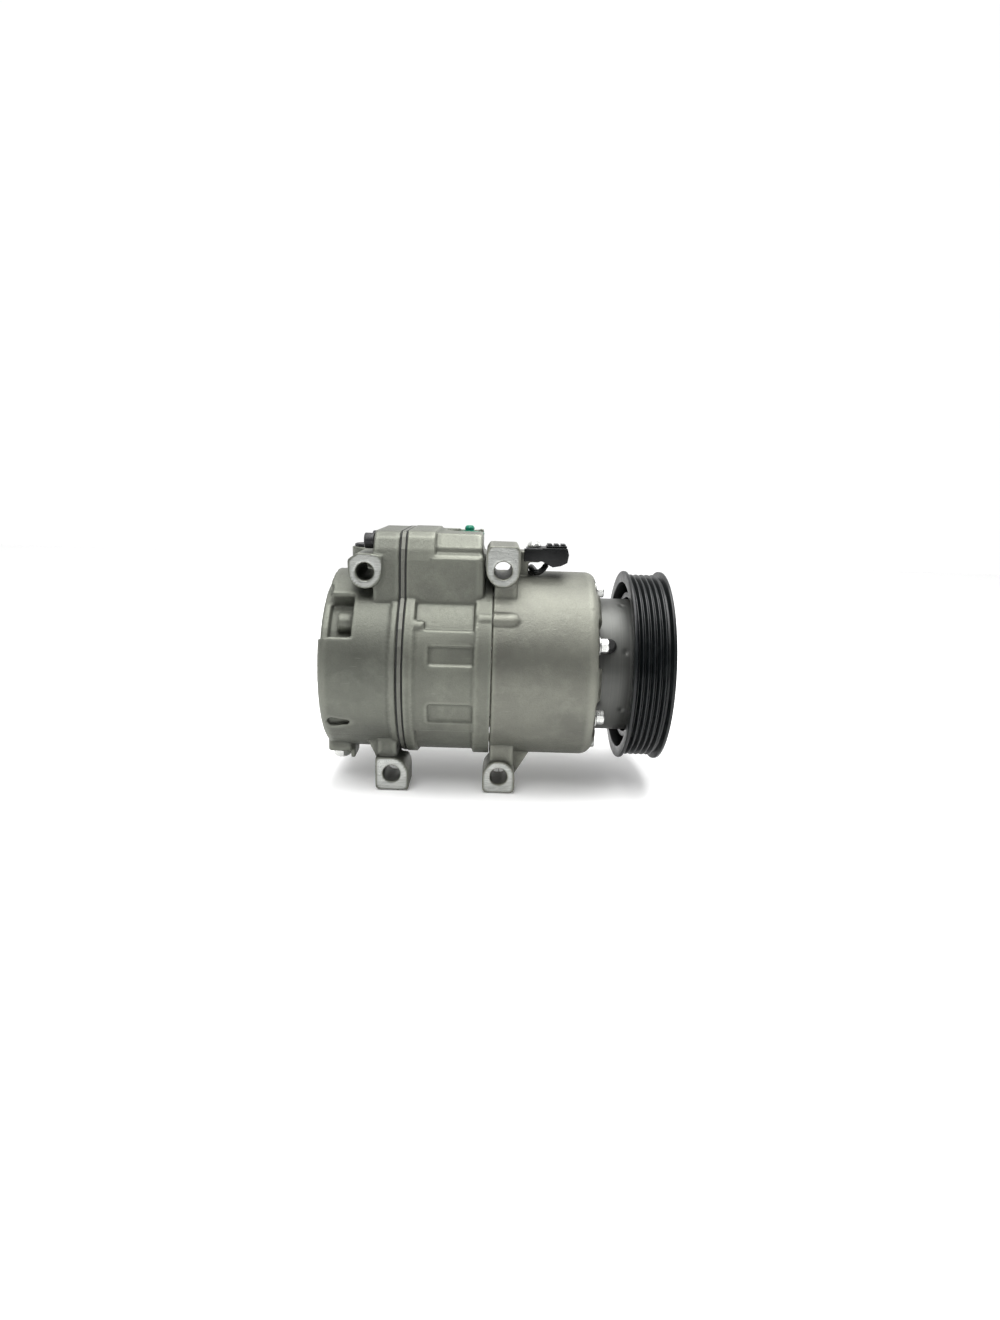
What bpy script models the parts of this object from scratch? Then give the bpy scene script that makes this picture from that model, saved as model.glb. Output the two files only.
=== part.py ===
"""Automotive air-conditioning compressor: seven pistons, swash plate, six-groove clutch pulley.

Metres, +Z up. The shaft lies along X and its clutch end points to +X. The origin is on the
shaft's axis, at the outer face of the bolt that holds the clutch hub. The machined faces of
the four mounting lugs look to -Y. An angle round the shaft is counted from -Y, upwards.
"""

import math

import bmesh
import bpy
from mathutils import Matrix, Vector

# Gaps between pieces that touch or run in each other
GAP = 0.0003
SEAM_GAP = 0.0003
TRIM = 0.0010

# Body, along the shaft
FACE_SETBACK = 0.0515
HOUSING_LENGTH = 0.0643
BLOCK_LENGTH = 0.0528
GASKET_THICKNESS = 0.0006
PLATE_THICKNESS = 0.0023
HEAD_LENGTH = 0.0478

# Body, across the shaft
BODY_RADIUS = 0.0608
RING_RADIUS = 0.0620
BLOCK_RADIUS = 0.0612
HEAD_RADIUS = 0.0590
PANEL_DEPTH = 0.0016
CAVITY_RADIUS = 0.0480
FRONT_WALL = 0.0105
FRONT_ROUND = 0.0078
LAND_HEIGHT = 0.0030
LAND_INNER_RADIUS = 0.0455
POCKET_HALF_ANGLE = math.radians(15.2)

# Through bolts and cylinders
CYLINDERS = 7
BOLT_CIRCLE_RADIUS = 0.0523
BOLT_PHASE = math.radians(24.5)
BOLT_RADIUS = 0.0029
BOLT_THREAD_DEPTH = 0.0160
BOLT_HEAD_FLATS = 0.0080
BOLT_HEAD_HEIGHT = 0.0046
BOLT_FLANGE_RADIUS = 0.0058
BOLT_FLANGE_HEIGHT = 0.0012
CYLINDER_CIRCLE_RADIUS = 0.0342
CYLINDER_RADIUS = 0.0132
OUTLET_CIRCLE_RADIUS = 0.0275
INLET_CIRCLE_RADIUS = 0.0420

# Nose, pulley bearing, coil
NOSE_END = -0.0130
NOSE_SHOULDER = 0.0022
BEARING_FRONT = -0.0165
BEARING_WIDTH = 0.0200
BEARING_BORE_RADIUS = 0.0178
RACE_THICKNESS = 0.0032
BALL_SPACE = 0.0036
BALLS = 9
COIL_RADIUS = 0.0438
COIL_RUNNING_GAP = 0.0011
COIL_FRONT = -0.0175
COIL_WALL = 0.0021
COIL_BACK_WALL = 0.0027

# Pulley
PULLEY_SETBACK = 0.0180
PULLEY_WIDTH = 0.0255
PULLEY_RADIUS = 0.0624
FLANGE_RISE = 0.0022
GROOVES = 6
GROOVE_PITCH = 0.00356
GROOVE_DEPTH = 0.0028
RIB_TIP = 0.0008
RIM_WALL = 0.0022
PULLEY_HUB_WALL = 0.0040
FRICTION_FACE = -0.0098
FRICTION_WEB = 0.0047
POLE_CLEARANCE = 0.0012
POLE_WALL = 0.0035
POLE_LENGTH = 0.0125
FRONT_RIM = 0.0039

# Clutch
AIR_GAP = 0.0005
ARMATURE_THICKNESS = 0.0045
ARMATURE_RADIUS = 0.0515
ARMATURE_INNER_RADIUS = 0.0240
HUB_BOSS_RADIUS = 0.0100
HUB_FLANGE_RADIUS = 0.0215
HUB_FLANGE_THICKNESS = 0.0024
HUB_FRONT = -0.0008
SPRING_THICKNESS = 0.0008
SPRING_WIDTH = 0.0090
SPRING_HUB_RADIUS = 0.0160
RIVET_CIRCLE_RADIUS = 0.0400
RIVET_RADIUS = 0.0022
RIVET_HEAD_RADIUS = 0.0042
RIVET_HEAD_HEIGHT = 0.0015
HUB_BOLT_RADIUS = 0.0027
HUB_BOLT_HEAD = 0.0059

# Shaft and drive
SHAFT_RADIUS = 0.0080
SPLINE_RADIUS = 0.0060
SHAFT_FRONT = -0.0100
SPLINE_END = -0.0255
FRONT_BORE_RADIUS = 0.0126
SEAL_BORE_RADIUS = 0.0140
SEAL_SHOULDER = -0.0392
REAR_BORE_RADIUS = 0.0130
REAR_BORE_DEPTH = 0.0239
OIL_BORE_RADIUS = 0.0070
THRUST_THICKNESS = 0.0019
LUG_PLATE_RADIUS = 0.0400
LUG_PLATE_THICKNESS = 0.0055
SWASH_RADIUS = 0.0439
SWASH_THICKNESS = 0.0070
SWASH_SETBACK = 0.0103
SWASH_HUB_RADIUS = 0.0110
SHOE_SPACE = 0.0040
JAW_THICKNESS = 0.0050
STRAP_THICKNESS = 0.0022
STRAP_HALF_WIDTH = 0.0060
PISTON_HEAD_CLEARANCE = 0.0017
PIN_RADIUS = 0.0025
WIRE_RADIUS = 0.0009
SPRING_TURNS = 4

# Mounting lugs, all with their machined faces in one plane
LUG_PLANE = -0.0420
LUG_BORE_RADIUS = 0.0054
LUG_CHAMFER = 0.0007
LUG_RADIUS = 0.0104
FRONT_LUG_RISE = 0.0042
REAR_LUG_RISE = 0.0012
LOWER_LUG_DROP = 0.0063
UPPER_LUG_DEPTH = 0.0440
LOWER_LUG_DEPTH = 0.0240
LOWER_LUG_FOOT = 0.0108

# Muffler box on the block, and the flange on the head that closes it
BOX_NEAR = -0.0410
BOX_FAR = 0.0390
BOX_LEDGE = 0.0730
BOX_FOOT = 0.0370
BOX_TOP = 0.0868
BOX_FULL_LENGTH = 0.0170
BOX_END_CLEARANCE = 0.0056
CHAMBER_WALL = 0.0070
CHAMBER_ROOF = 0.0130
FLANGE_DEPTH = 0.0160

SIDES_LARGE = 36
SIDES_RIM = 32
SIDES_MEDIUM = 24
SIDES_SMALL = 14

# Stations along the shaft, from the clutch backwards
FACE = -FACE_SETBACK
LAND = FACE + LAND_HEIGHT
POCKET_FLOOR = FACE + 0.0002
CAVITY_FRONT = FACE - FRONT_WALL
SEAM = FACE - HOUSING_LENGTH
BLOCK_FRONT = SEAM - SEAM_GAP
BLOCK_REAR = BLOCK_FRONT - BLOCK_LENGTH
BLOCK_GASKET = BLOCK_REAR - GAP
PLATE_FRONT = BLOCK_GASKET - GASKET_THICKNESS - GAP
PLATE_REAR = PLATE_FRONT - PLATE_THICKNESS
HEAD_GASKET = PLATE_REAR - GAP
HEAD_FRONT = HEAD_GASKET - GASKET_THICKNESS - GAP
HEAD_REAR = HEAD_FRONT - HEAD_LENGTH
BELT_PLANE = -PULLEY_SETBACK
BOX_END = SEAM - BOX_END_CLEARANCE

# Radii of what runs in or round the pulley bearing
BEARING_OUTER_RADIUS = BEARING_BORE_RADIUS + 2 * RACE_THICKNESS + BALL_SPACE
NOSE_ROOT_RADIUS = BEARING_BORE_RADIUS + NOSE_SHOULDER
PULLEY_BORE_RADIUS = BEARING_OUTER_RADIUS + GAP
PULLEY_HUB_RADIUS = PULLEY_BORE_RADIUS + PULLEY_HUB_WALL
COIL_INNER_RADIUS = PULLEY_HUB_RADIUS + COIL_RUNNING_GAP
POLE_INNER_RADIUS = COIL_RADIUS + POLE_CLEARANCE
RIB_RADIUS = PULLEY_RADIUS - FLANGE_RISE
RIM_INNER_RADIUS = RIB_RADIUS - GROOVE_DEPTH - RIM_WALL
FRONT_RECESS_RADIUS = PULLEY_RADIUS - FRONT_RIM

BOLT_ANGLES = [BOLT_PHASE + 2 * math.pi * n / CYLINDERS for n in range(CYLINDERS)]
CYLINDER_ANGLES = [a + math.pi / CYLINDERS for a in BOLT_ANGLES]
BOLT_HOLE_RADIUS = BOLT_RADIUS + 2 * GAP
PASSAGE = (0.0566, math.radians(37), 0.0063)
SMALL_BOSS = (0.0593, math.radians(32), 0.0030)

# Centres of the lugs' bores
FRONT_UPPER_LUG_Z = BODY_RADIUS + FRONT_LUG_RISE
REAR_UPPER_LUG_Z = BODY_RADIUS + REAR_LUG_RISE
LOWER_LUG_Z = -(BODY_RADIUS + LOWER_LUG_DROP)
FRONT_UPPER_LUG_X = SEAM + 0.0054
FRONT_LOWER_LUG_X = SEAM + 0.0066
REAR_UPPER_LUG_X = HEAD_FRONT - 0.0206
REAR_LOWER_LUG_X = HEAD_FRONT - 0.0043

# Ports and their dust caps
PORT_BORE_RADIUS = 0.0072
PORT_BOSS_RADIUS = 0.0115
PORT_RECESS_RADIUS = 0.0150
PORT_FACE = BOX_TOP - 0.0045
DISCHARGE_PORT = (BOX_END - 0.0115, 0.0130)
SUCTION_FACE = BODY_RADIUS + 0.0110
SUCTION_PORT = (HEAD_FRONT - 0.0281, 0.0250)
CAP_RADIUS = 0.0098
CAP_KNOB_RADIUS = 0.0033
CAP_RISE = 0.0060

# Flange screws, as (y, z) places
SCREW_PLACES = ((-0.0290, 0.0798), (0.0040, 0.0792))
SCREW_RADIUS = 0.0030
SCREW_HEAD_RADIUS = 0.0048
SCREW_HEAD_HEIGHT = 0.0060
SCREW_GRIP = 0.0100

# Relief valve under the head and control valve behind it
RELIEF_PLACE = (HEAD_REAR + 0.0078, -0.0180)
RELIEF_SEAT = -HEAD_RADIUS + 0.0013
RELIEF_TOP = -HEAD_RADIUS + 0.0120
RELIEF_FLATS = 0.0108
RELIEF_DROP = 0.0062
VALVE_RADIUS = 0.0085
VALVE_PLACE = (HEAD_REAR + 0.0122, -0.0120)
VALVE_END = 0.0060
VALVE_MOUTH = 0.0560

# Post with an arm on the housing, and the connector that stands on it
POST_X = (SEAM + 0.0150, SEAM + 0.0218)
POST_Y = (-0.0140, 0.0020)
POST_TOP = BODY_RADIUS + 0.0140
POST_HOLE_DEPTH = 0.0060
ARM_END = SEAM + 0.0290
ARM_DEPTH = 0.0070
EYE_PLACE = (SEAM + 0.0252, -0.0080)
EYE_THICKNESS = 0.0023
EYE_HOLE_RADIUS = 0.0025
SKIRT_START = SEAM + 0.0186
PLUG_X = SEAM + 0.0300
PLUG_Y = (-0.0190, 0.0000)
PLUG_Z = (BODY_RADIUS + 0.0082, BODY_RADIUS + 0.0166)

# The coil's lead, from the connector under the arm and round the far side to the coil,
# each point as station, radius from the shaft and angle round it in degrees
LEAD_RADIUS = 0.0019
COIL_EXIT_ANGLE = math.radians(153)
COIL_EXIT_X = -0.0432
LEAD_ROUTE = (
    (-0.0827, 0.0672, 80.0),
    (-0.0850, 0.0650, 77.5),
    (-0.0880, 0.0637, 76.0),
    (-0.0903, 0.0633, 77.5),
    (-0.0915, 0.0632, 82.0),
    (-0.0917, 0.0632, 88.0),
    (-0.0914, 0.0632, 95.0),
    (-0.0903, 0.0632, 103.0),
    (-0.0882, 0.0632, 111.0),
    (-0.0854, 0.0632, 118.5),
    (-0.0820, 0.0632, 126.0),
    (-0.0745, 0.0633, 135.0),
    (-0.0665, 0.0635, 143.0),
    (-0.0590, 0.0636, 149.5),
    (-0.0525, 0.0625, 152.6),
    (-0.0472, 0.0588, 153.0),
    (-0.0440, 0.0540, 153.0),
    (-0.0432, 0.0500, 153.0),
    (-0.0432, 0.0477, 153.0),
)


def clear_scene():
    for obj in list(bpy.data.objects):
        bpy.data.objects.remove(obj)


def material(name, colour, roughness, metallic):
    made = bpy.data.materials.new(name)
    made.use_nodes = True
    shader = made.node_tree.nodes["Principled BSDF"]
    shader.inputs["Base Color"].default_value = (*colour, 1.0)
    shader.inputs["Roughness"].default_value = roughness
    shader.inputs["Metallic"].default_value = metallic
    return made


def around(radius, angle):
    """The (y, z) place at a radius and an angle round the shaft."""
    return -radius * math.cos(angle), radius * math.sin(angle)


def arc(centre, radius, start, end, steps):
    """Points of a round stretch, its angles in degrees from the first axis to the second."""
    angles = [math.radians(start + (end - start) * n / steps) for n in range(steps + 1)]
    return [(centre[0] + radius * math.cos(a), centre[1] + radius * math.sin(a)) for a in angles]


def to_object(name, bm, finish):
    bm.normal_update()
    bmesh.ops.recalc_face_normals(bm, faces=bm.faces)
    mesh = bpy.data.meshes.new(name)
    bm.to_mesh(mesh)
    bm.free()
    obj = bpy.data.objects.new(name, mesh)
    bpy.context.scene.collection.objects.link(obj)
    if finish:
        mesh.materials.append(finish)
    mesh.shade_smooth()
    mesh.set_sharp_from_angle(angle=math.radians(32))
    return obj


def along(axis, a, b, c):
    """A point given as the distance along an axis and two across it."""
    return {"X": (a, b, c), "Y": (b, a, c), "Z": (b, c, a)}[axis]


def turned(name, profile, finish=None, sides=SIDES_LARGE, axis="X", at=(0.0, 0.0)):
    """A closed profile of (distance along the axis, radius), turned about a line through at."""
    bm = bmesh.new()
    directions = [2 * math.pi * n / sides for n in range(sides)]
    rings = []
    for x, r in profile:
        places = [(r * math.cos(a), r * math.sin(a)) for a in directions] if r else [(0.0, 0.0)]
        rings.append([bm.verts.new(along(axis, x, y + at[0], z + at[1])) for y, z in places])
    for first, last in zip(rings, rings[1:] + rings[:1]):
        if len(first) == len(last) == 1:
            continue
        for n in range(sides):
            m = (n + 1) % sides
            corners = [first[0]] if len(first) == 1 else [first[m], first[n]]
            corners += [last[0]] if len(last) == 1 else [last[n], last[m]]
            bm.faces.new(corners)
    return to_object(name, bm, finish)


def rod(low, high, radius, axis="X", at=(0.0, 0.0), sides=SIDES_SMALL, name="tool", finish=None):
    profile = [(low, 0), (low, radius), (high, radius), (high, 0)]
    return turned(name, profile, finish, sides, axis, at)


def ring(name, low, high, inner, outer, finish, sides=SIDES_MEDIUM, axis="X", at=(0.0, 0.0)):
    profile = [(low, inner), (low, outer), (high, outer), (high, inner)]
    return turned(name, profile, finish, sides, axis, at)


def prism(outline, axis, low, high, name="tool", finish=None):
    """An outline across an axis, carried from low to high along it."""
    bm = bmesh.new()
    first = [bm.verts.new(along(axis, low, b, c)) for b, c in outline]
    last = [bm.verts.new(along(axis, high, b, c)) for b, c in outline]
    bm.faces.new(first)
    bm.faces.new(last)
    for n in range(len(outline)):
        m = (n + 1) % len(outline)
        bm.faces.new((first[n], first[m], last[m], last[n]))
    return to_object(name, bm, finish)


def box(x, y, z, name="tool", finish=None):
    return prism([(y[0], z[0]), (y[1], z[0]), (y[1], z[1]), (y[0], z[1])], "X", *x, name, finish)


def sector(inner, outer, start, end, low, high, steps=4):
    """A block bent round the shaft between two radii, two angles and two stations."""
    angles = [start + (end - start) * n / steps for n in range(steps + 1)]
    outline = [around(inner, a) for a in angles] + [around(outer, a) for a in reversed(angles)]
    return prism(outline, "X", low, high)


def rods_around(low, high, radius, circle, angles, sides=SIDES_SMALL):
    return joined([rod(low, high, radius, "X", around(circle, a), sides) for a in angles])


def joined(tools):
    """Shapes that don't meet, as one mesh for one Boolean."""
    bm = bmesh.new()
    for tool in tools:
        bm.from_mesh(tool.data)
        bpy.data.objects.remove(tool)
    return to_object("tool", bm, None)


def combine(target, operation, tools):
    for tool in tools:
        modifier = target.modifiers.new(operation, "BOOLEAN")
        modifier.operation = operation
        modifier.solver = "EXACT"
        modifier.object = tool
    graph = bpy.context.evaluated_depsgraph_get()
    mesh = bpy.data.meshes.new_from_object(target.evaluated_get(graph))
    target.modifiers.clear()
    target.data = mesh
    mesh.shade_smooth()
    mesh.set_sharp_from_angle(angle=math.radians(32))
    for tool in tools:
        bpy.data.objects.remove(tool)
    return target


def cut(target, *tools):
    return combine(target, "DIFFERENCE", tools)


def fuse(target, *tools):
    return combine(target, "UNION", tools)


def hexagon(flats):
    radius = flats / math.sqrt(3)
    angles = [math.pi / 3 * n for n in range(6)]
    return [(radius * math.cos(a), radius * math.sin(a)) for a in angles]


def moved(outline, b, c):
    return [(x + b, y + c) for x, y in outline]


def rounded_box(b, c, radius, steps=3):
    """A rectangle's outline with round corners."""
    places = [(b[1], c[1], 0), (b[0], c[1], 90), (b[0], c[0], 180), (b[1], c[0], 270)]
    outline = []
    for x, y, start in places:
        inward_b = x - math.copysign(radius, x - sum(b) / 2)
        inward_c = y - math.copysign(radius, y - sum(c) / 2)
        outline += arc((inward_b, inward_c), radius, start, start + 90, steps)
    return outline


def front_upper_lug():
    """Round below, chamfered corners above, with a block that carries it into the housing."""
    face = arc((0, 0), LUG_RADIUS, 180, 360, 8)
    face += [(LUG_RADIUS, 0.0118), (0.0086, 0.0146), (-0.0082, 0.0146), (-LUG_RADIUS, 0.0112)]
    far = LUG_PLANE + UPPER_LUG_DEPTH
    lug = prism(moved(face, FRONT_UPPER_LUG_X, FRONT_UPPER_LUG_Z), "Y", LUG_PLANE, far)
    root_z = (FRONT_UPPER_LUG_Z - 0.0230, FRONT_UPPER_LUG_Z)
    root_x = (FRONT_UPPER_LUG_X - 0.0050, FRONT_UPPER_LUG_X + 0.0090)
    return fuse(lug, box(root_x, (LUG_PLANE + 0.0035, far - 0.001), root_z))


def rear_upper_lug():
    face = arc((0, 0), LUG_RADIUS, 180, 360, 8)
    face += [(LUG_RADIUS, 0.0095), (0.0060, 0.0108), (-0.0046, 0.0112), (-LUG_RADIUS, 0.0072)]
    far = LUG_PLANE + UPPER_LUG_DEPTH
    return prism(moved(face, REAR_UPPER_LUG_X, REAR_UPPER_LUG_Z), "Y", LUG_PLANE, far)


def front_lower_lug():
    """Round above and square at the foot, with a rib that runs forwards into the housing."""
    foot = -LOWER_LUG_FOOT
    face = arc((0, 0), LUG_RADIUS, 0, 180, 8) + [(-LUG_RADIUS, foot + 0.0015), (-LUG_RADIUS + 0.0015, foot)]
    face += [(LUG_RADIUS - 0.0015, foot), (LUG_RADIUS, foot + 0.0015)]
    far = LUG_PLANE + LOWER_LUG_DEPTH
    lug = prism(moved(face, FRONT_LOWER_LUG_X, LOWER_LUG_Z), "Y", LUG_PLANE, far)
    inside = -BODY_RADIUS + 0.0220
    neck = box(
        (FRONT_LOWER_LUG_X - 0.0060, FRONT_LOWER_LUG_X + 0.0090),
        (LUG_PLANE + 0.0030, far - 0.0008),
        (LOWER_LUG_Z, inside),
    )
    rib = [
        (FRONT_LOWER_LUG_X, LOWER_LUG_Z - 0.0060),
        (FRONT_LOWER_LUG_X + 0.0110, LOWER_LUG_Z - 0.0020),
        (FRONT_LOWER_LUG_X + 0.0240, inside - 0.0080),
        (FRONT_LOWER_LUG_X + 0.0240, inside),
        (FRONT_LOWER_LUG_X, inside),
    ]
    return fuse(lug, neck, prism(rib, "Y", far - 0.0100, far + 0.0060))


def rear_lower_lug():
    """Square with one large round corner, and a rib that runs back under the head."""
    foot = -LOWER_LUG_FOOT
    face = arc((0.0004, 0.0004), LUG_RADIUS, 0, 90, 6) + [(-LUG_RADIUS, LUG_RADIUS + 0.0004)]
    face += [(-LUG_RADIUS, foot + 0.0015), (-LUG_RADIUS + 0.0015, foot), (LUG_RADIUS + 0.0004, foot)]
    far = LUG_PLANE + LOWER_LUG_DEPTH
    lug = prism(moved(face, REAR_LOWER_LUG_X, LOWER_LUG_Z), "Y", LUG_PLANE, far)
    inside = -HEAD_RADIUS + 0.0220
    neck = box(
        (REAR_LOWER_LUG_X - 0.0094, REAR_LOWER_LUG_X + 0.0030),
        (LUG_PLANE + 0.0030, far - 0.0008),
        (LOWER_LUG_Z, inside),
    )
    rib = [
        (REAR_LOWER_LUG_X, LOWER_LUG_Z),
        (REAR_LOWER_LUG_X - 0.0094, LOWER_LUG_Z + 0.0060),
        (REAR_LOWER_LUG_X - 0.0180, inside - 0.0060),
        (REAR_LOWER_LUG_X - 0.0180, inside),
        (REAR_LOWER_LUG_X, inside),
    ]
    return fuse(lug, neck, prism(rib, "Y", LUG_PLANE + 0.0060, far + 0.0040))


def lug_bore(x, z, depth):
    """A through bore with a small chamfer at the machined face."""
    low, high = LUG_PLANE - 0.002, LUG_PLANE + depth + 0.012
    profile = [(low, 0), (low, LUG_BORE_RADIUS + LUG_CHAMFER + 0.002)]
    profile += [(LUG_PLANE + LUG_CHAMFER, LUG_BORE_RADIUS), (high, LUG_BORE_RADIUS), (high, 0)]
    return turned("tool", profile, None, 16, "Y", (x, z))


# ---- outlines shared by the block, the gaskets, the valve plate and the head ----


def tab_outline(foot, inset=0.0, whole=False):
    """The raised part on top: upright near wall, a sloping shoulder, a flat crown. Its foot is an
    arc round the shaft, the short way under the tab or, for a whole plate, the long way."""
    near, far = BOX_NEAR + inset, BOX_FAR - inset
    top = BOX_TOP - inset
    outline = [
        (near, BOX_LEDGE - 0.0040),
        (near + 0.0022, BOX_LEDGE + 0.0030),
        (near + 0.0060, BOX_TOP - 0.0034 - inset),
        (near + 0.0100, BOX_TOP - 0.0005 - inset),
        (near + 0.0130, top),
        (far - 0.0100, top),
        (far - 0.0030, top - 0.0035),
        (far, top - 0.0120),
    ]
    start = math.degrees(math.acos(far / foot))
    end = math.degrees(math.acos(near / foot)) - (360 if whole else 0)
    return outline + arc((0, 0), foot, start, end, SIDES_LARGE - 8 if whole else 8)


def chamber(low, high):
    return box((low, high), (BOX_NEAR + 0.012, BOX_FAR - 0.012), (0.0680, BOX_TOP - CHAMBER_ROOF))


def stacked_plate(name, front, thickness, radius, finish, holes):
    """A thin disc with the tab on top, pierced by holes, between the block and the head."""
    plate = prism(tab_outline(radius, 0.0004, True), "X", front - thickness, front, name, finish)
    low, high = front - thickness - 0.001, front + 0.001
    tools = [rods_around(low, high, r, circle, angles, sides) for r, circle, angles, sides in holes]
    tools += [rod(low, high, SCREW_RADIUS + 2 * GAP, "X", place, 8) for place in SCREW_PLACES]
    return cut(plate, joined([*tools, chamber(low, high)]))


def petals(name, rear, thickness, finish, tip_radius, tip_circle):
    """Seven tongues on one hub, as reed valves are stamped."""
    outline = []
    step = 2 * math.pi / CYLINDERS
    for a in CYLINDER_ANGLES:
        centre = around(tip_circle, a)
        outline.append(around(0.0110, a - step / 2))
        outline.append(around(0.0150, a - step * 0.18))
        for n in range(5):
            turn = -math.pi / 2 + math.pi * n / 4
            y, z = around(tip_radius, a + turn)
            outline.append((centre[0] + y, centre[1] + z))
        outline.append(around(0.0150, a + step * 0.18))
    return prism(outline, "X", rear, rear + thickness, name, finish)


# ---- castings ----


def beyond(station, side):
    """Everything past a station, to trim a casting's joint face flat."""
    ends = sorted((station, station + side * 0.03))
    return box(ends, (-0.12, 0.12), (-0.12, 0.12))


def bolt_holes(low, high):
    return rods_around(low, high, BOLT_HOLE_RADIUS, BOLT_CIRCLE_RADIUS, BOLT_ANGLES, 10)


def make_front_housing(finish):
    profile = [(SEAM - TRIM, BODY_RADIUS)]
    profile += arc((LAND - FRONT_ROUND, BODY_RADIUS - FRONT_ROUND), FRONT_ROUND, 90, 0, 4)
    profile += [(LAND, LAND_INNER_RADIUS), (FACE, LAND_INNER_RADIUS), (FACE, NOSE_ROOT_RADIUS)]
    coil_groove = FACE + COIL_BACK_WALL + 2 * GAP
    groove_end = coil_groove + 0.0019
    profile += [(coil_groove, NOSE_ROOT_RADIUS), (coil_groove, NOSE_ROOT_RADIUS - 0.001)]
    profile += [(groove_end, NOSE_ROOT_RADIUS - 0.001), (groove_end, NOSE_ROOT_RADIUS)]
    shoulder = BEARING_FRONT - BEARING_WIDTH - GAP
    seat = BEARING_BORE_RADIUS - GAP
    profile += [(shoulder, NOSE_ROOT_RADIUS), (shoulder, seat)]
    profile += [(BEARING_FRONT + 0.0003, seat), (BEARING_FRONT + 0.0003, seat - 0.0011)]
    profile += [(BEARING_FRONT + 0.0022, seat - 0.0011), (BEARING_FRONT + 0.0022, seat)]
    profile += [(NOSE_END, seat), (NOSE_END, SEAL_BORE_RADIUS)]
    profile += [(SEAL_SHOULDER, SEAL_BORE_RADIUS), (SEAL_SHOULDER, FRONT_BORE_RADIUS)]
    profile += [(CAVITY_FRONT, FRONT_BORE_RADIUS), (CAVITY_FRONT, CAVITY_RADIUS)]
    profile.append((SEAM - TRIM, CAVITY_RADIUS))
    housing = turned("front_housing", profile, finish)

    lugs = [front_upper_lug(), front_lower_lug()]
    for lug in lugs:
        cut(lug, rod(SEAM - 0.020, SEAM + 0.0004, RING_RADIUS + 0.0006, sides=SIDES_LARGE))
        cut(lug, rod(SEAM - 0.020, CAVITY_FRONT + 0.002, CAVITY_RADIUS + 0.003, sides=SIDES_LARGE))
    circle, angle, radius = PASSAGE
    place = around(circle, angle)
    passage = rod(SEAM - TRIM, SEAM + 0.0120, radius, "X", place, 16)
    dome_profile = [(SEAM + 0.0118, 0), (SEAM + 0.0118, radius)]
    dome_profile += arc((SEAM + 0.0120, 0), radius, 80, 0, 4)[:-1] + [(SEAM + 0.0120 + radius, 0)]
    dome = turned("tool", dome_profile, None, 16, "X", place)
    post = box(POST_X, POST_Y, (BODY_RADIUS - 0.010, POST_TOP))
    arm = box((POST_X[1] - 0.001, ARM_END), POST_Y, (POST_TOP - ARM_DEPTH, POST_TOP))
    fuse(housing, passage, dome, fuse(post, arm))
    cut(housing, beyond(SEAM, -1))
    fuse(housing, *lugs)
    cut(housing, ring("tool", SEAM - TRIM, SEAM + 0.0016, 0.0564, 0.0588, None, SIDES_LARGE))
    inner, outer = LAND_INNER_RADIUS - 0.0015, BODY_RADIUS + 0.004
    pockets = []
    for angle in BOLT_ANGLES:
        sides = (angle - POCKET_HALF_ANGLE, angle + POCKET_HALF_ANGLE)
        pockets.append(sector(inner, outer, *sides, POCKET_FLOOR, LAND + 0.002))
    cut(housing, joined(pockets))
    cut(housing, bolt_holes(SEAM - 0.001, LAND + 0.001))
    cut(housing, rod(POST_TOP - POST_HOLE_DEPTH, POST_TOP + 0.002, 0.0024, "Z", EYE_PLACE, 10))
    cut(
        housing,
        lug_bore(FRONT_UPPER_LUG_X, FRONT_UPPER_LUG_Z, UPPER_LUG_DEPTH),
        lug_bore(FRONT_LOWER_LUG_X, LOWER_LUG_Z, LOWER_LUG_DEPTH),
    )
    return housing


def muffler_box():
    """The cast box on top of the block: full at its rear end, set back above a ledge in front."""
    foot = BLOCK_RADIUS - 0.0040
    full = prism(tab_outline(foot), "X", BLOCK_REAR - TRIM, BLOCK_REAR + BOX_FULL_LENGTH)
    end = BOX_END
    start = BLOCK_REAR + BOX_FULL_LENGTH - 0.002
    lower = [(start, BOX_NEAR), (end - 0.004, BOX_NEAR), (end - 0.001, BOX_NEAR + 0.0012)]
    lower += [(end, BOX_NEAR + 0.004), (end, BOX_FAR), (start, BOX_FAR)]
    base = prism(lower, "Z", BOX_FOOT, BOX_LEDGE - 0.0018)
    shelf = [(BOX_NEAR, BOX_LEDGE - 0.004), (BOX_NEAR + 0.0010, BOX_LEDGE - 0.0004)]
    shelf.append((BOX_NEAR + 0.003, BOX_LEDGE + 0.0006))
    shelf += [(BOX_FAR - 0.003, BOX_LEDGE + 0.0006), (BOX_FAR, BOX_LEDGE - 0.004)]
    ledge = prism(shelf, "X", start, end - 0.0015)
    slope = [(BOX_NEAR + 0.0040, BOX_LEDGE - 0.002), (BOX_NEAR + 0.0050, BOX_LEDGE + 0.0046)]
    slope += [(BOX_NEAR + 0.0130, BOX_TOP - 0.0012), (BOX_FAR - 0.012, BOX_TOP - 0.0012)]
    slope += [(BOX_FAR - 0.003, BOX_TOP - 0.006), (BOX_FAR - 0.003, BOX_LEDGE - 0.002)]
    upper = prism(slope, "X", start, end - 0.0020)
    return fuse(full, base, ledge, upper)


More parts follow.
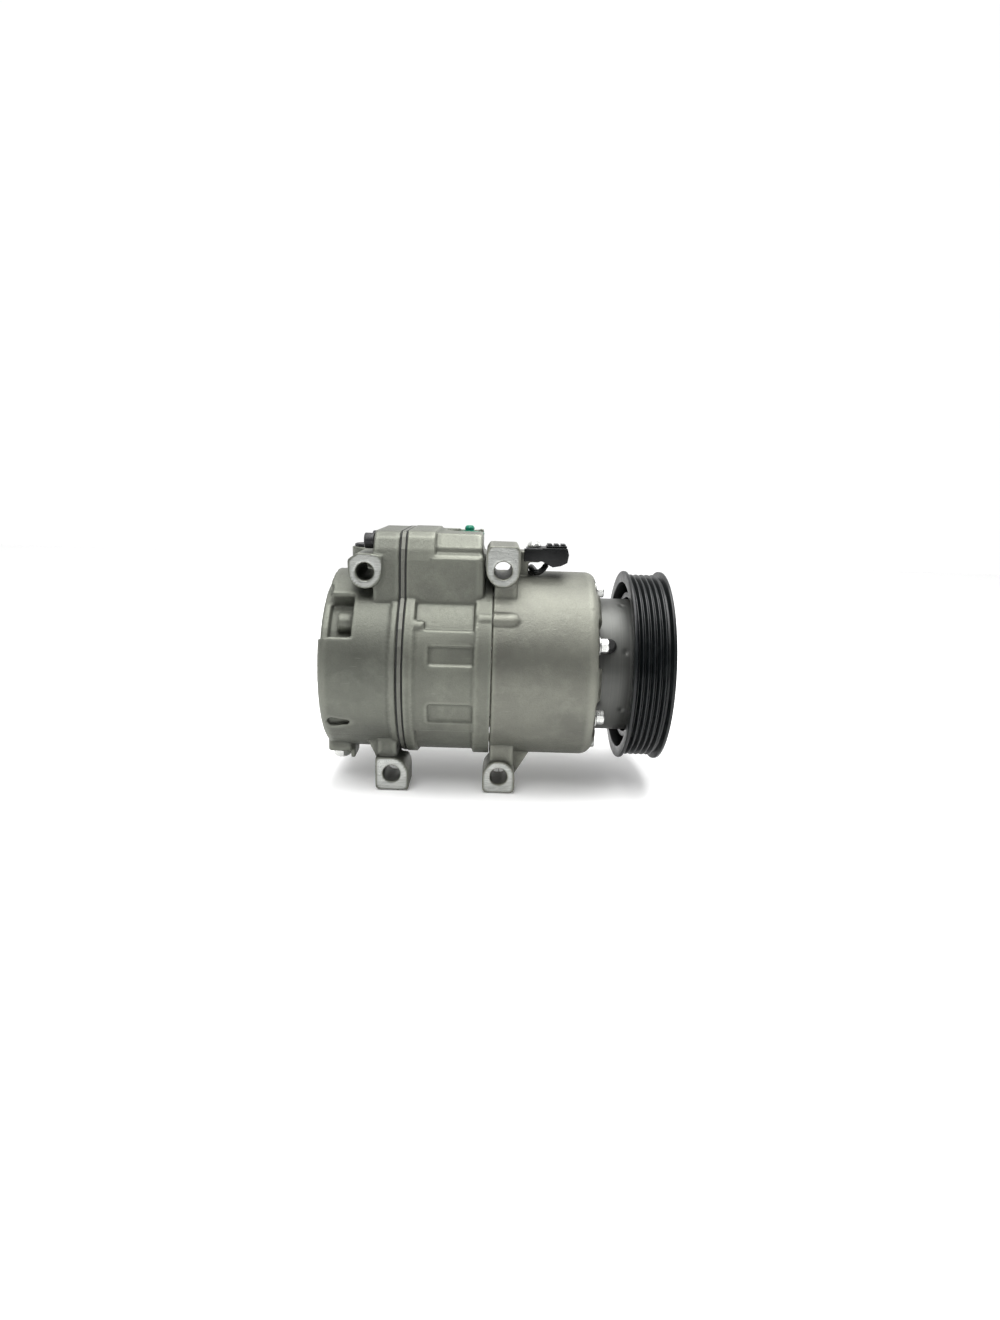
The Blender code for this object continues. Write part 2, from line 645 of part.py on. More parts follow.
def make_cylinder_block(finish):
    rear_ring = BLOCK_REAR + 0.0055
    front_ring = BLOCK_FRONT - 0.0100
    bore_floor = BLOCK_FRONT - REAR_BORE_DEPTH
    profile = [
        (BLOCK_FRONT + TRIM, REAR_BORE_RADIUS),
        (bore_floor, REAR_BORE_RADIUS),
        (bore_floor, OIL_BORE_RADIUS),
        (BLOCK_REAR - TRIM, OIL_BORE_RADIUS),
        (BLOCK_REAR - TRIM, RING_RADIUS),
        (rear_ring, RING_RADIUS),
        (rear_ring + 0.0008, BLOCK_RADIUS),
        (front_ring - 0.0008, BLOCK_RADIUS),
        (front_ring, RING_RADIUS),
        (BLOCK_FRONT + TRIM, RING_RADIUS),
    ]
    block = turned("cylinder_block", profile, finish)
    floor = BLOCK_RADIUS - PANEL_DEPTH
    top = RING_RADIUS + 0.004
    whole = (rear_ring + 0.0008, front_ring - 0.0008)
    short = (BLOCK_REAR + 0.0148, front_ring - 0.0008)
    panels = [
        (29.3, 53, whole),
        (9.25, 20, short),
        (-27, -14.5, short),
        (-98, -34.5, whole),
        (-142, -116, short),
        (-172, -152, short),
        (112, 161.5, whole),
    ]
    tools = []
    for start, end, span in panels:
        steps = max(2, int((end - start) / 9))
        tools.append(sector(floor, top, math.radians(start), math.radians(end), *span, steps))
    cut(block, joined(tools))

    circle, angle, radius = PASSAGE
    passage = rod(BLOCK_FRONT - 0.0090, BLOCK_FRONT + TRIM, radius, "X", around(circle, angle), 16)
    circle, angle, radius = SMALL_BOSS
    small_boss = rod(BLOCK_REAR + 0.0040, BLOCK_REAR + 0.0120, radius, "X", around(circle, angle), 12)
    fuse(block, muffler_box(), passage, small_boss)
    cut(block, beyond(BLOCK_REAR, -1), beyond(BLOCK_FRONT, 1))
    recess = rod(PORT_FACE, BOX_TOP + 0.002, PORT_RECESS_RADIUS, "Z", DISCHARGE_PORT, 24)
    cut(block, chamber(BLOCK_REAR - 0.001, BOX_END - CHAMBER_WALL), recess)
    cut(block, port_bore(DISCHARGE_PORT, PORT_FACE, BOX_TOP - 0.0155))
    low, high = BLOCK_REAR - 0.001, BLOCK_FRONT + 0.001
    cut(block, rods_around(low, high, CYLINDER_RADIUS, CYLINDER_CIRCLE_RADIUS, CYLINDER_ANGLES, 18))
    cut(block, bolt_holes(low, high))
    cut(block, joined([screw_hole(place, BLOCK_REAR + SCREW_GRIP) for place in SCREW_PLACES]))
    return block


def make_rear_head(finish):
    well, middle = HEAD_FRONT - 0.0220, HEAD_FRONT - 0.0160
    profile = [(HEAD_REAR, 0), (HEAD_REAR, HEAD_RADIUS - 0.0060)]
    profile += arc((HEAD_REAR + 0.0050, HEAD_RADIUS - 0.0050), 0.0050, 180, 90, 4)
    profile += [(HEAD_FRONT - 0.0045, HEAD_RADIUS), (HEAD_FRONT - 0.0045, HEAD_RADIUS + 0.0010)]
    front = HEAD_FRONT + TRIM
    wall = (CYLINDER_CIRCLE_RADIUS - 0.0017, CYLINDER_CIRCLE_RADIUS + 0.0023)
    profile += [(front, HEAD_RADIUS + 0.0010), (front, 0.0474), (well, 0.0474), (well, wall[1])]
    profile += [(front, wall[1]), (front, wall[0]), (middle, wall[0]), (middle, 0)]
    head = turned("rear_head", profile, finish)

    flange = prism(tab_outline(HEAD_RADIUS - 0.0040, 0.0006), "X", HEAD_FRONT - FLANGE_DEPTH, front)
    lower_lug = rear_lower_lug()
    cut(lower_lug, rod(HEAD_FRONT - 0.0004, HEAD_FRONT + 0.020, RING_RADIUS + 0.0006, sides=SIDES_LARGE))
    cut(lower_lug, rod(HEAD_FRONT - 0.0230, HEAD_FRONT + 0.020, 0.0505, sides=SIDES_LARGE))
    suction_boss = rod(BODY_RADIUS * 0.75, SUCTION_FACE, PORT_BOSS_RADIUS, "Z", SUCTION_PORT, 24)
    boss_x, boss_y = (HEAD_REAR + 0.0003, HEAD_REAR + 0.0165), (-0.0290, -0.0070)
    relief_boss = prism(rounded_box(boss_x, boss_y, 0.0030), "Z", RELIEF_SEAT, -HEAD_RADIUS + 0.0200)
    guard_x = (HEAD_REAR + 0.0147, HEAD_REAR + 0.0178)
    guard = box(guard_x, (-0.0260, -0.0100), (RELIEF_SEAT - 0.0052, -HEAD_RADIUS + 0.0190))
    valve_boss = rod(0.030, HEAD_RADIUS + 0.0020, VALVE_RADIUS + 0.0035, "Y", VALVE_PLACE, 20)
    fuse(head, flange, suction_boss, fuse(relief_boss, guard), valve_boss)
    cut(head, beyond(HEAD_FRONT, 1))
    fuse(head, rear_upper_lug(), lower_lug)

    # a hollow with a boss in it, the rear edge set back above it, and a drop-shaped pit below
    span = (HEAD_REAR + 0.0050, HEAD_REAR + 0.0204)
    pocket = sector(0.0480, 0.0640, math.radians(24), math.radians(53), *span, 5)
    span = (HEAD_REAR - 0.001, HEAD_REAR + 0.0060)
    corner = sector(0.0500, 0.0660, math.radians(23), math.radians(61.5), *span, 4)
    span = (HEAD_REAR - 0.001, HEAD_REAR + 0.0036)
    edge = sector(0.0505, 0.0665, math.radians(61), math.radians(98.5), *span, 4)
    drop = arc((HEAD_REAR + 0.0078, -0.0304), 0.0032, 60, 300, 8)
    drop += arc((HEAD_REAR + 0.0168, -0.0304), 0.0016, -75, 75, 4)
    cut(head, pocket, corner, edge, prism(drop, "Y", -0.0640, -0.0462))
    boss_span = (HEAD_REAR + 0.0110, HEAD_REAR + 0.0206)
    fuse(head, rod(*boss_span, 0.0065, "X", around(0.0500, math.radians(37)), 16))
    cut(head, bolt_holes(HEAD_FRONT - BOLT_THREAD_DEPTH - 0.001, HEAD_FRONT + 0.001))
    relief_hole = rod(-HEAD_RADIUS - 0.002, RELIEF_TOP + GAP, 0.0045, "Z", RELIEF_PLACE, 12)
    valve_hole = rod(VALVE_END - GAP, 0.070, VALVE_RADIUS + GAP, "Y", VALVE_PLACE, 16)
    cut(head, relief_hole, valve_hole, port_bore(SUCTION_PORT, SUCTION_FACE, SUCTION_FACE - 0.034))
    cut(head, joined([screw_hole(place, HEAD_FRONT + 0.001) for place in SCREW_PLACES]))
    cut(
        head,
        lug_bore(REAR_UPPER_LUG_X, REAR_UPPER_LUG_Z, UPPER_LUG_DEPTH),
        lug_bore(REAR_LOWER_LUG_X, LOWER_LUG_Z, LOWER_LUG_DEPTH),
    )
    return head


def port_bore(place, face, floor):
    return rod(floor, face + 0.002, PORT_BORE_RADIUS, "Z", place, 20)


def screw_hole(place, end):
    return rod(HEAD_FRONT - FLANGE_DEPTH - 0.012, end, SCREW_RADIUS + GAP, "X", place, 12)


def make_port_cap(name, place, face, finish):
    """A push-in dust plug: a stem in the bore, a flange on the face and a round pull on top."""
    stem = PORT_BORE_RADIUS - GAP
    low = face + GAP
    top = low + CAP_RISE
    profile = [(low - 0.0060, 0), (low - 0.0060, stem - 0.0006), (low - 0.0050, stem), (low, stem)]
    profile += [(low, CAP_RADIUS), (low + 0.0012, CAP_RADIUS), (low + 0.0018, CAP_RADIUS - 0.0006)]
    profile += [(low + 0.0018, CAP_KNOB_RADIUS)]
    profile += arc((top - CAP_KNOB_RADIUS, 0), CAP_KNOB_RADIUS, 90, 0, 4)[:-1] + [(top, 0)]
    return turned(name, profile, finish, 14, "Z", place)


def make_through_bolts(finish):
    seat = POCKET_FLOOR + GAP
    end = HEAD_FRONT - BOLT_THREAD_DEPTH
    flange_top = seat + BOLT_FLANGE_HEIGHT
    profile = [(end, 0), (end, BOLT_RADIUS), (seat, BOLT_RADIUS), (seat, BOLT_FLANGE_RADIUS)]
    profile += [(flange_top, BOLT_FLANGE_RADIUS - 0.0008), (flange_top, 0)]
    first = turned("through_bolt_1", profile, finish, 10)
    head = prism(hexagon(BOLT_HEAD_FLATS), "X", flange_top - 0.0004, flange_top + BOLT_HEAD_HEIGHT)
    fuse(first, head)
    first.data.name = "through_bolt"
    for number, angle in enumerate(BOLT_ANGLES, 1):
        bolt = first if number == 1 else bpy.data.objects.new(f"through_bolt_{number}", first.data)
        if number > 1:
            bpy.context.scene.collection.objects.link(bolt)
        bolt.location = (0, *around(BOLT_CIRCLE_RADIUS, angle))
        bolt.rotation_euler = (angle, 0, 0)


def make_socket_screws(finish):
    for number, (y, z) in enumerate(SCREW_PLACES, 1):
        seat = HEAD_FRONT - FLANGE_DEPTH - GAP
        back = seat - SCREW_HEAD_HEIGHT
        profile = [(BLOCK_REAR + SCREW_GRIP - 0.001, 0), (BLOCK_REAR + SCREW_GRIP - 0.001, SCREW_RADIUS)]
        profile += [(seat, SCREW_RADIUS), (seat, SCREW_HEAD_RADIUS), (back + 0.0006, SCREW_HEAD_RADIUS)]
        profile += [(back, SCREW_HEAD_RADIUS - 0.0006), (back, 0)]
        screw = turned(f"flange_screw_{number}", profile, finish, 16, "X", (y, z))
        cut(screw, prism(moved(hexagon(0.0050), y, z), "X", back - 0.001, back + 0.0032))


def make_relief_valve(finish):
    x, y = RELIEF_PLACE
    seat = RELIEF_SEAT - GAP
    foot = seat - RELIEF_DROP
    profile = [(foot, 0), (foot, 0.0042), (foot + 0.0010, 0.0050), (foot + 0.0020, 0.0050)]
    profile += [(seat - 0.0012, 0.0050), (seat - 0.0012, 0.0062), (seat, 0.0062), (seat, 0.0042)]
    profile += [(RELIEF_TOP, 0.0042), (RELIEF_TOP, 0)]
    valve = turned("relief_valve", profile, finish, 12, "Z", (x, y))
    fuse(valve, prism(moved(hexagon(RELIEF_FLATS), x, y), "Z", foot + 0.0018, seat - 0.0008))


def make_control_valve(finish):
    step, shoulder, mouth = VALVE_END + 0.012, VALVE_END + 0.026, VALVE_MOUTH - GAP - 0.0002
    profile = [(VALVE_END, 0), (VALVE_END, 0.0050), (step, 0.0050), (step, 0.0070)]
    profile += [(shoulder, 0.0070), (shoulder, VALVE_RADIUS), (mouth, VALVE_RADIUS), (mouth, 0)]
    turned("control_valve", profile, finish, 14, "Y", VALVE_PLACE)


def make_connector(black, steel):
    """A two-pole plug on a flat eye, screwed down on the post's arm, a skirt in front of the arm,
    and the sliding lock on top."""
    eye_z = (POST_TOP + GAP, POST_TOP + EYE_THICKNESS)
    eye_y = (PLUG_Y[0] + 0.0006, EYE_PLACE[1] + 0.0050)
    eye_x = (SKIRT_START + 0.0016, PLUG_X + 0.0006)
    body = prism(rounded_box(eye_x, eye_y, 0.0015, 2), "Z", *eye_z, "connector_body", black)
    low, high = PLUG_Z
    # the shell's outline from the side, with a wedge below for the lead
    side = [(PLUG_X, low), (PLUG_X, high), (PLUG_X + 0.0158, high), (PLUG_X + 0.0168, low + 0.0045)]
    side += [(PLUG_X + 0.0160, low - 0.0005), (PLUG_X + 0.0119, low - 0.0026)]
    side.append((PLUG_X + 0.0068, low - 0.0035))
    skirt = box((SKIRT_START, PLUG_X + 0.001), (PLUG_Y[0], POST_Y[0] - GAP), (low, eye_z[1] - 0.0004))
    fuse(body, prism(side, "Y", *PLUG_Y), skirt)
    opening_y = (PLUG_Y[0] + 0.0020, PLUG_Y[1] - 0.0020)
    opening = rounded_box(opening_y, (low + 0.0012, high - 0.0022), 0.0010, 2)
    cut(body, prism(opening, "X", PLUG_X + 0.0060, PLUG_X + 0.0200))
    cut(body, rod(eye_z[0] - 0.001, eye_z[1] + 0.001, EYE_HOLE_RADIUS, "Z", EYE_PLACE, 12))

    clip_z = (high + GAP, high + GAP + 0.0010)
    clip_y = (PLUG_Y[0] + 0.0030, PLUG_Y[1] - 0.0050)
    clip_x = (PLUG_X + 0.0028, PLUG_X + 0.0156)
    clip = box(clip_x, clip_y, clip_z, "connector_lock", black)
    inner = (clip_y[0] + 0.0010, clip_y[1] - 0.0010)
    for start in (0.0034, 0.0077, 0.0120):
        rib = (PLUG_X + start, PLUG_X + start + 0.0028)
        fuse(clip, box(rib, inner, (clip_z[0] + 0.0006, clip_z[0] + 0.0021)))

    head = eye_z[1] + GAP
    tip = POST_TOP - POST_HOLE_DEPTH + 0.0010
    profile = [(tip, 0), (tip, 0.0021), (head, 0.0021), (head, 0.0044), (head + 0.0010, 0.0044)]
    profile += [(head + 0.0028, 0.0034), (head + 0.0032, 0)]
    turned("connector_screw", profile, steel, 14, "Z", EYE_PLACE)


def smooth_route(points, steps):
    """Points read from one smooth curve through the given ones (Catmull-Rom)."""
    places = [Vector(p) for p in points]
    padded = [places[0] * 2 - places[1], *places, places[-1] * 2 - places[-2]]
    route = []
    for n in range(1, len(padded) - 2):
        a, b, c, d = padded[n - 1 : n + 3]
        for k in range(steps):
            t = k / steps
            square = (2 * a - 5 * b + 4 * c - d) * t**2
            cube = (3 * b - a - 3 * c + d) * t**3
            route.append(0.5 * (2 * b + (c - a) * t + square + cube))
    return [*route, places[-1]]


def tube(name, points, radius, finish, resolution=2):
    curve = bpy.data.curves.new(name, "CURVE")
    curve.dimensions = "3D"
    curve.bevel_depth = radius
    curve.bevel_resolution = resolution
    curve.use_fill_caps = True
    spline = curve.splines.new("POLY")
    spline.points.add(len(points) - 1)
    for point, place in zip(spline.points, points):
        point.co = (*place, 1.0)
    curve.materials.append(finish)
    obj = bpy.data.objects.new(name, curve)
    bpy.context.scene.collection.objects.link(obj)
    return obj


def make_coil_lead(sleeve, rubber):
    points = [(x, *around(r, math.radians(a))) for x, r, a in LEAD_ROUTE]
    tube("coil_lead", smooth_route(points, 2), LEAD_RADIUS, sleeve)
    seat, collar, mouth = COIL_RADIUS + GAP, COIL_RADIUS + 0.0014, LEAD_ROUTE[-1][1] - GAP
    profile = [(seat, 0), (seat, 0.0045), (collar, 0.0045), (mouth, 0.0028), (mouth, 0)]
    grommet = turned("coil_grommet", profile, rubber, 16, "Z", (COIL_EXIT_X, 0.0))
    turn = Matrix.Rotation(COIL_EXIT_ANGLE - math.pi / 2, 4, "X")
    grommet.data.transform(turn)


# ---- drive ----


def make_shaft(finish):
    rear = BLOCK_FRONT - REAR_BORE_DEPTH + 0.0005
    hole = HUB_BOLT_RADIUS + GAP
    profile = [(rear, 0), (rear, SHAFT_RADIUS - 0.0005), (rear + 0.0005, SHAFT_RADIUS)]
    profile += [(SPLINE_END, SHAFT_RADIUS), (SPLINE_END, SPLINE_RADIUS)]
    profile += [(SHAFT_FRONT, SPLINE_RADIUS), (SHAFT_FRONT, hole)]
    profile += [(SHAFT_FRONT - 0.0135, hole), (SHAFT_FRONT - 0.0135, 0)]
    turned("shaft", profile, finish, 18)


def make_drive(steel, spring):
    front = CAVITY_FRONT - THRUST_THICKNESS - 2 * GAP
    back = front - LUG_PLATE_THICKNESS
    bore = SHAFT_RADIUS + GAP
    ring("thrust_bearing", front + GAP, CAVITY_FRONT - GAP, 0.0150, 0.0260, steel)
    swash_rear = BLOCK_FRONT + SWASH_SETBACK - SHOE_SPACE
    swash_front = swash_rear + SWASH_THICKNESS
    pin_x = back - 0.0110
    pin_z = 0.0165
    profile = [(front, bore), (front, LUG_PLATE_RADIUS), (back, LUG_PLATE_RADIUS), (back, bore)]
    lug_plate = turned("lug_plate", profile, steel, SIDES_MEDIUM)
    cheek_x, cheek_z = (pin_x - 0.0050, back + 0.001), (0.0118, 0.0215)
    cheeks = [box(cheek_x, (middle - 0.0018, middle + 0.0018), cheek_z) for middle in (-0.0062, 0.0062)]
    fuse(lug_plate, *cheeks)
    cut(lug_plate, rod(-0.02, 0.02, PIN_RADIUS + GAP, "Y", (pin_x, pin_z), 12))

    hub = swash_rear - 0.0030
    profile = [(hub, bore), (hub, SWASH_HUB_RADIUS), (swash_rear, SWASH_HUB_RADIUS)]
    profile += [(swash_rear, SWASH_RADIUS), (swash_front, SWASH_RADIUS)]
    profile.append((swash_front, SWASH_HUB_RADIUS))
    profile += [(swash_front + 0.0040, SWASH_HUB_RADIUS), (swash_front + 0.0040, bore)]
    swash = turned("swash_plate", profile, steel, SIDES_RIM)
    tongue = box((swash_front - 0.001, pin_x + 0.0040), (-0.0040, 0.0040), (0.0118, 0.0200))
    fuse(swash, tongue, rod(-0.0086, 0.0086, PIN_RADIUS, "Y", (pin_x, pin_z), 12))

    coil_radius = SHAFT_RADIUS + GAP + WIRE_RADIUS + 0.0006
    start, end = swash_front + 0.0040 + WIRE_RADIUS + GAP, back - WIRE_RADIUS - GAP
    count = SPRING_TURNS * 10
    turns = [2 * math.pi * SPRING_TURNS * n / count for n in range(count + 1)]
    points = []
    for n, turn in enumerate(turns):
        across = (coil_radius * math.cos(turn), coil_radius * math.sin(turn))
        points.append((start + (end - start) * n / count, *across))
    tube("destroke_spring", points, WIRE_RADIUS, spring, 1)
    return swash_rear, swash_front


def make_pistons(swash_rear, swash_front, finish):
    """A piston head in its bore and a strap that reaches over the swash plate's rim."""
    radius = CYLINDER_RADIUS - GAP
    rear_jaw = swash_rear - SHOE_SPACE
    front_jaw = swash_front + SHOE_SPACE
    at = (0.0, CYLINDER_CIRCLE_RADIUS)
    first = rod(BLOCK_REAR + PISTON_HEAD_CLEARANCE, rear_jaw, radius, "X", at, 14, "piston_1", finish)
    strap_low = SWASH_RADIUS + 0.0007
    jaw = rod(front_jaw, front_jaw + JAW_THICKNESS, radius, "X", at, 14)
    strap = box(
        (BLOCK_FRONT + 0.0008, front_jaw + JAW_THICKNESS - 0.0004),
        (-STRAP_HALF_WIDTH, STRAP_HALF_WIDTH),
        (strap_low, strap_low + STRAP_THICKNESS),
    )
    fuse(first, jaw, strap)
    first.data.name = "piston"
    for number, angle in enumerate(CYLINDER_ANGLES, 1):
        piston = first if number == 1 else bpy.data.objects.new(f"piston_{number}", first.data)
        if number > 1:
            bpy.context.scene.collection.objects.link(piston)
        piston.rotation_euler = (math.pi / 2 - angle, 0, 0)


def make_bearings_and_seals(steel, rubber):
    bore = SHAFT_RADIUS + GAP
    low, high = CAVITY_FRONT + 0.0005, SEAL_SHOULDER - 0.0010
    ring("front_bearing", low, high, bore, FRONT_BORE_RADIUS - GAP, steel, 20)
    low, high = BLOCK_FRONT - REAR_BORE_DEPTH + 0.0010, BLOCK_FRONT - 0.0030
    ring("rear_bearing", low, high, bore, REAR_BORE_RADIUS - GAP, steel, 20)
    low, high = SEAL_SHOULDER + GAP, SEAL_SHOULDER + 0.0098
    ring("shaft_seal", low, high, bore, SEAL_BORE_RADIUS - GAP, rubber, 20)
    ring("housing_o_ring", SEAM + 0.0001, SEAM + 0.0013, 0.0567, 0.0585, rubber, SIDES_LARGE)


# ---- clutch ----


def make_pulley(finish):
    """The grooved rim, and the rotor pressed into it: friction web, pole ring and bearing seat."""
    rear, front = BELT_PLANE - PULLEY_WIDTH / 2, BELT_PLANE + PULLEY_WIDTH / 2
    first_groove = BELT_PLANE - GROOVE_PITCH * (GROOVES - 1) / 2
    half_tip = (GROOVE_PITCH - RIB_TIP) / 2
    profile = [(rear, RIM_INNER_RADIUS), (rear, PULLEY_RADIUS)]
    profile.append((first_groove - GROOVE_PITCH / 2, PULLEY_RADIUS))
    for n in range(GROOVES):
        centre = first_groove + GROOVE_PITCH * n
        profile.append((centre - half_tip, RIB_RADIUS))
        profile.append((centre, RIB_RADIUS - GROOVE_DEPTH))
        profile.append((centre + half_tip, RIB_RADIUS))
    profile.append((BELT_PLANE + GROOVE_PITCH * GROOVES / 2, PULLEY_RADIUS))
    profile += [(front, PULLEY_RADIUS), (front, FRONT_RECESS_RADIUS)]
    profile += [(FRICTION_FACE, FRONT_RECESS_RADIUS), (FRICTION_FACE, RIM_INNER_RADIUS)]
    turned("pulley_rim", profile, finish, SIDES_RIM)

    outer = RIM_INNER_RADIUS - GAP
    lip, lip_radius = BEARING_FRONT + GAP, PULLEY_BORE_RADIUS - 0.0024
    web = FRICTION_FACE - FRICTION_WEB
    pole, pole_outer = web - POLE_LENGTH, POLE_INNER_RADIUS + POLE_WALL
    end = BEARING_FRONT - BEARING_WIDTH - GAP - 0.0040
    profile = [(FRICTION_FACE, outer), (FRICTION_FACE, lip_radius), (lip, lip_radius)]
    profile += [(lip, PULLEY_BORE_RADIUS), (end, PULLEY_BORE_RADIUS), (end, PULLEY_HUB_RADIUS)]
    profile += [(web, PULLEY_HUB_RADIUS), (web, POLE_INNER_RADIUS), (pole, POLE_INNER_RADIUS)]
    profile += [(pole, pole_outer), (web, pole_outer), (web, outer)]
    turned("pulley_rotor", profile, finish, SIDES_RIM)


def make_pulley_bearing(steel, brass):
    rear = BEARING_FRONT - BEARING_WIDTH
    inner = BEARING_BORE_RADIUS
    track = inner + RACE_THICKNESS
    outer = track + BALL_SPACE
    ring("bearing_inner_race", rear, BEARING_FRONT, inner, track, steel)
    ring("bearing_outer_race", rear, BEARING_FRONT, outer, BEARING_OUTER_RADIUS, steel)
    middle = (rear + BEARING_FRONT) / 2
    radius = BALL_SPACE / 2 - GAP - 0.0001
    circle = track + BALL_SPACE / 2
    span = (middle - 0.0005, middle + 0.0005)
    cage = ring("bearing_balls", *span, circle - 0.0006, circle + 0.0006, brass, 18)
    balls = []
    for n in range(BALLS):
        place = Matrix.Translation((middle, *around(circle, 2 * math.pi * n / BALLS)))
        bm = bmesh.new()
        bmesh.ops.create_icosphere(bm, subdivisions=1, radius=radius, matrix=place)
        balls.append(to_object("ball", bm, steel))
    fuse(cage, joined(balls))
    nose = inner - GAP
    low, high = BEARING_FRONT + 0.0006, BEARING_FRONT + 0.0019
    ring("bearing_circlip", low, high, nose - 0.0008, nose + 0.0020, steel)


def make_coil(steel, resin):
    rear = FACE + GAP
    back = rear + COIL_BACK_WALL
    inside = COIL_INNER_RADIUS + COIL_WALL
    outside = COIL_RADIUS - COIL_WALL
    mouth = NOSE_ROOT_RADIUS + 0.0004
    profile = [(rear, mouth), (rear, COIL_RADIUS), (COIL_FRONT - 0.0005, COIL_RADIUS)]
    profile.append((COIL_FRONT, COIL_RADIUS - 0.0005))
    profile += [(COIL_FRONT, outside), (back, outside), (back, inside), (COIL_FRONT, inside)]
    profile += [(COIL_FRONT, COIL_INNER_RADIUS), (back, COIL_INNER_RADIUS), (back, mouth)]
    turned("coil_shell", profile, steel, SIDES_RIM)
    ring("coil_winding", back + GAP, COIL_FRONT - 0.0012, inside + 2 * GAP, outside - GAP, resin)
    low = FACE + COIL_BACK_WALL + 3 * GAP
    inner, outer = NOSE_ROOT_RADIUS - 0.0007, NOSE_ROOT_RADIUS + 0.0038
    ring("coil_circlip", low, low + 0.0013, inner, outer, steel)


def make_clutch_hub(steel, spring, black):
    armature_rear = FRICTION_FACE + AIR_GAP
    armature_front = armature_rear + ARMATURE_THICKNESS
    spring_rear = armature_front + AIR_GAP
    spring_front = spring_rear + SPRING_THICKNESS
    flange_rear = spring_front + GAP
    flange_front = flange_rear + HUB_FLANGE_THICKNESS
    rivet_angles = [2 * math.pi * n / 3 + math.radians(50) for n in range(3)]

    span = (armature_rear, armature_front)
    radii = (ARMATURE_INNER_RADIUS, ARMATURE_RADIUS)
    armature = ring("armature_plate", *span, *radii, steel, SIDES_RIM)
    low, high = armature_rear - 0.001, armature_front + 0.001
    hole = RIVET_RADIUS + GAP
    cut(armature, rods_around(low, high, hole, RIVET_CIRCLE_RADIUS, rivet_angles, 12))

    floor = SHAFT_FRONT + GAP
    shoulder = HUB_FRONT - 0.0054
    back, bore, hole = SPLINE_END + 0.0015, SPLINE_RADIUS + GAP, HUB_BOLT_RADIUS + GAP
    profile = [(back, bore), (back, HUB_BOSS_RADIUS), (flange_rear, HUB_BOSS_RADIUS)]
    profile += [(flange_rear, HUB_FLANGE_RADIUS), (flange_front, HUB_FLANGE_RADIUS)]
    profile += [(flange_front, 0.0105), (HUB_FRONT, 0.0095), (HUB_FRONT, 0.0078)]
    profile += [(shoulder, 0.0078), (shoulder, hole), (floor, hole), (floor, bore)]
    hub = turned("clutch_hub", profile, black, SIDES_MEDIUM)
    studs = [a - math.radians(58) for a in rivet_angles]
    low, high = flange_rear + 0.0004, flange_front + 0.0010
    fuse(hub, rods_around(low, high, 0.0030, SPRING_HUB_RADIUS, studs, 12))

    for number, (stud, rivet) in enumerate(zip(studs, rivet_angles), 1):
        start = Vector(around(SPRING_HUB_RADIUS, stud))
        end = Vector(around(RIVET_CIRCLE_RADIUS, rivet))
        forward = (end - start).normalized()
        heading = math.degrees(math.atan2(forward.y, forward.x))
        outline = arc(end, SPRING_WIDTH / 2, heading - 90, heading + 90, 6)
        outline += arc(start, SPRING_WIDTH / 2, heading + 90, heading + 270, 6)
        leaf = prism(outline, "X", spring_rear, spring_front, f"leaf_spring_{number}", spring)
        low, high = spring_rear - 0.001, spring_front + 0.001
        cut(leaf, rod(low, high, RIVET_RADIUS + 2 * GAP, "X", tuple(end), 12))
        head = spring_front + 0.0008
        tail, top = armature_rear + 0.0004, head + RIVET_HEAD_HEIGHT
        profile = [(tail, 0), (tail, RIVET_RADIUS), (head, RIVET_RADIUS), (head, RIVET_HEAD_RADIUS)]
        profile += [(head + 0.0006, RIVET_HEAD_RADIUS), (top, 0.0026), (top, 0)]
        turned(f"armature_rivet_{number}", profile, steel, 12, "X", tuple(end))

    under_head = shoulder + GAP
    tip = SHAFT_FRONT - 0.0120
    profile = [(tip, 0), (tip, HUB_BOLT_RADIUS), (under_head, HUB_BOLT_RADIUS)]
    profile += [(under_head, 0.0070), (under_head + 0.0012, 0.0070), (under_head + 0.0014, 0)]
    bolt = turned("hub_bolt", profile, steel, 16)
    fuse(bolt, prism(hexagon(0.0100), "X", under_head + 0.0008, 0.0))


# ---- plates between the block and the head ----


def make_plates(gasket, steel, spring):
    bores = (CYLINDER_RADIUS - 0.0012, CYLINDER_CIRCLE_RADIUS, CYLINDER_ANGLES, 9)
    bolts = (BOLT_HOLE_RADIUS + 0.0006, BOLT_CIRCLE_RADIUS, BOLT_ANGLES, 6)
    oil = (OIL_BORE_RADIUS, 0.0, [0.0], 8)
    outlets = (0.0035, OUTLET_CIRCLE_RADIUS, CYLINDER_ANGLES, 6)
    inlets = (0.0032, INLET_CIRCLE_RADIUS, CYLINDER_ANGLES, 6)
    through, radius = [bores, bolts, oil], RING_RADIUS - 0.0010
    stacked_plate("block_gasket", BLOCK_GASKET, GASKET_THICKNESS, radius, gasket, through)
    stacked_plate("head_gasket", HEAD_GASKET, GASKET_THICKNESS, radius, gasket, through)
    radius = RING_RADIUS - 0.0004
    pierced = [outlets, inlets, bolts]
    stacked_plate("valve_plate", PLATE_FRONT, PLATE_THICKNESS, radius, steel, pierced)
    discharge = HEAD_GASKET - GASKET_THICKNESS - GAP - 0.0002
    petals("discharge_reed", discharge - 0.0004, 0.0004, spring, 0.0042, OUTLET_CIRCLE_RADIUS)
    petals("discharge_retainer", discharge - 0.0021, 0.0014, steel, 0.0038, OUTLET_CIRCLE_RADIUS)
    return discharge


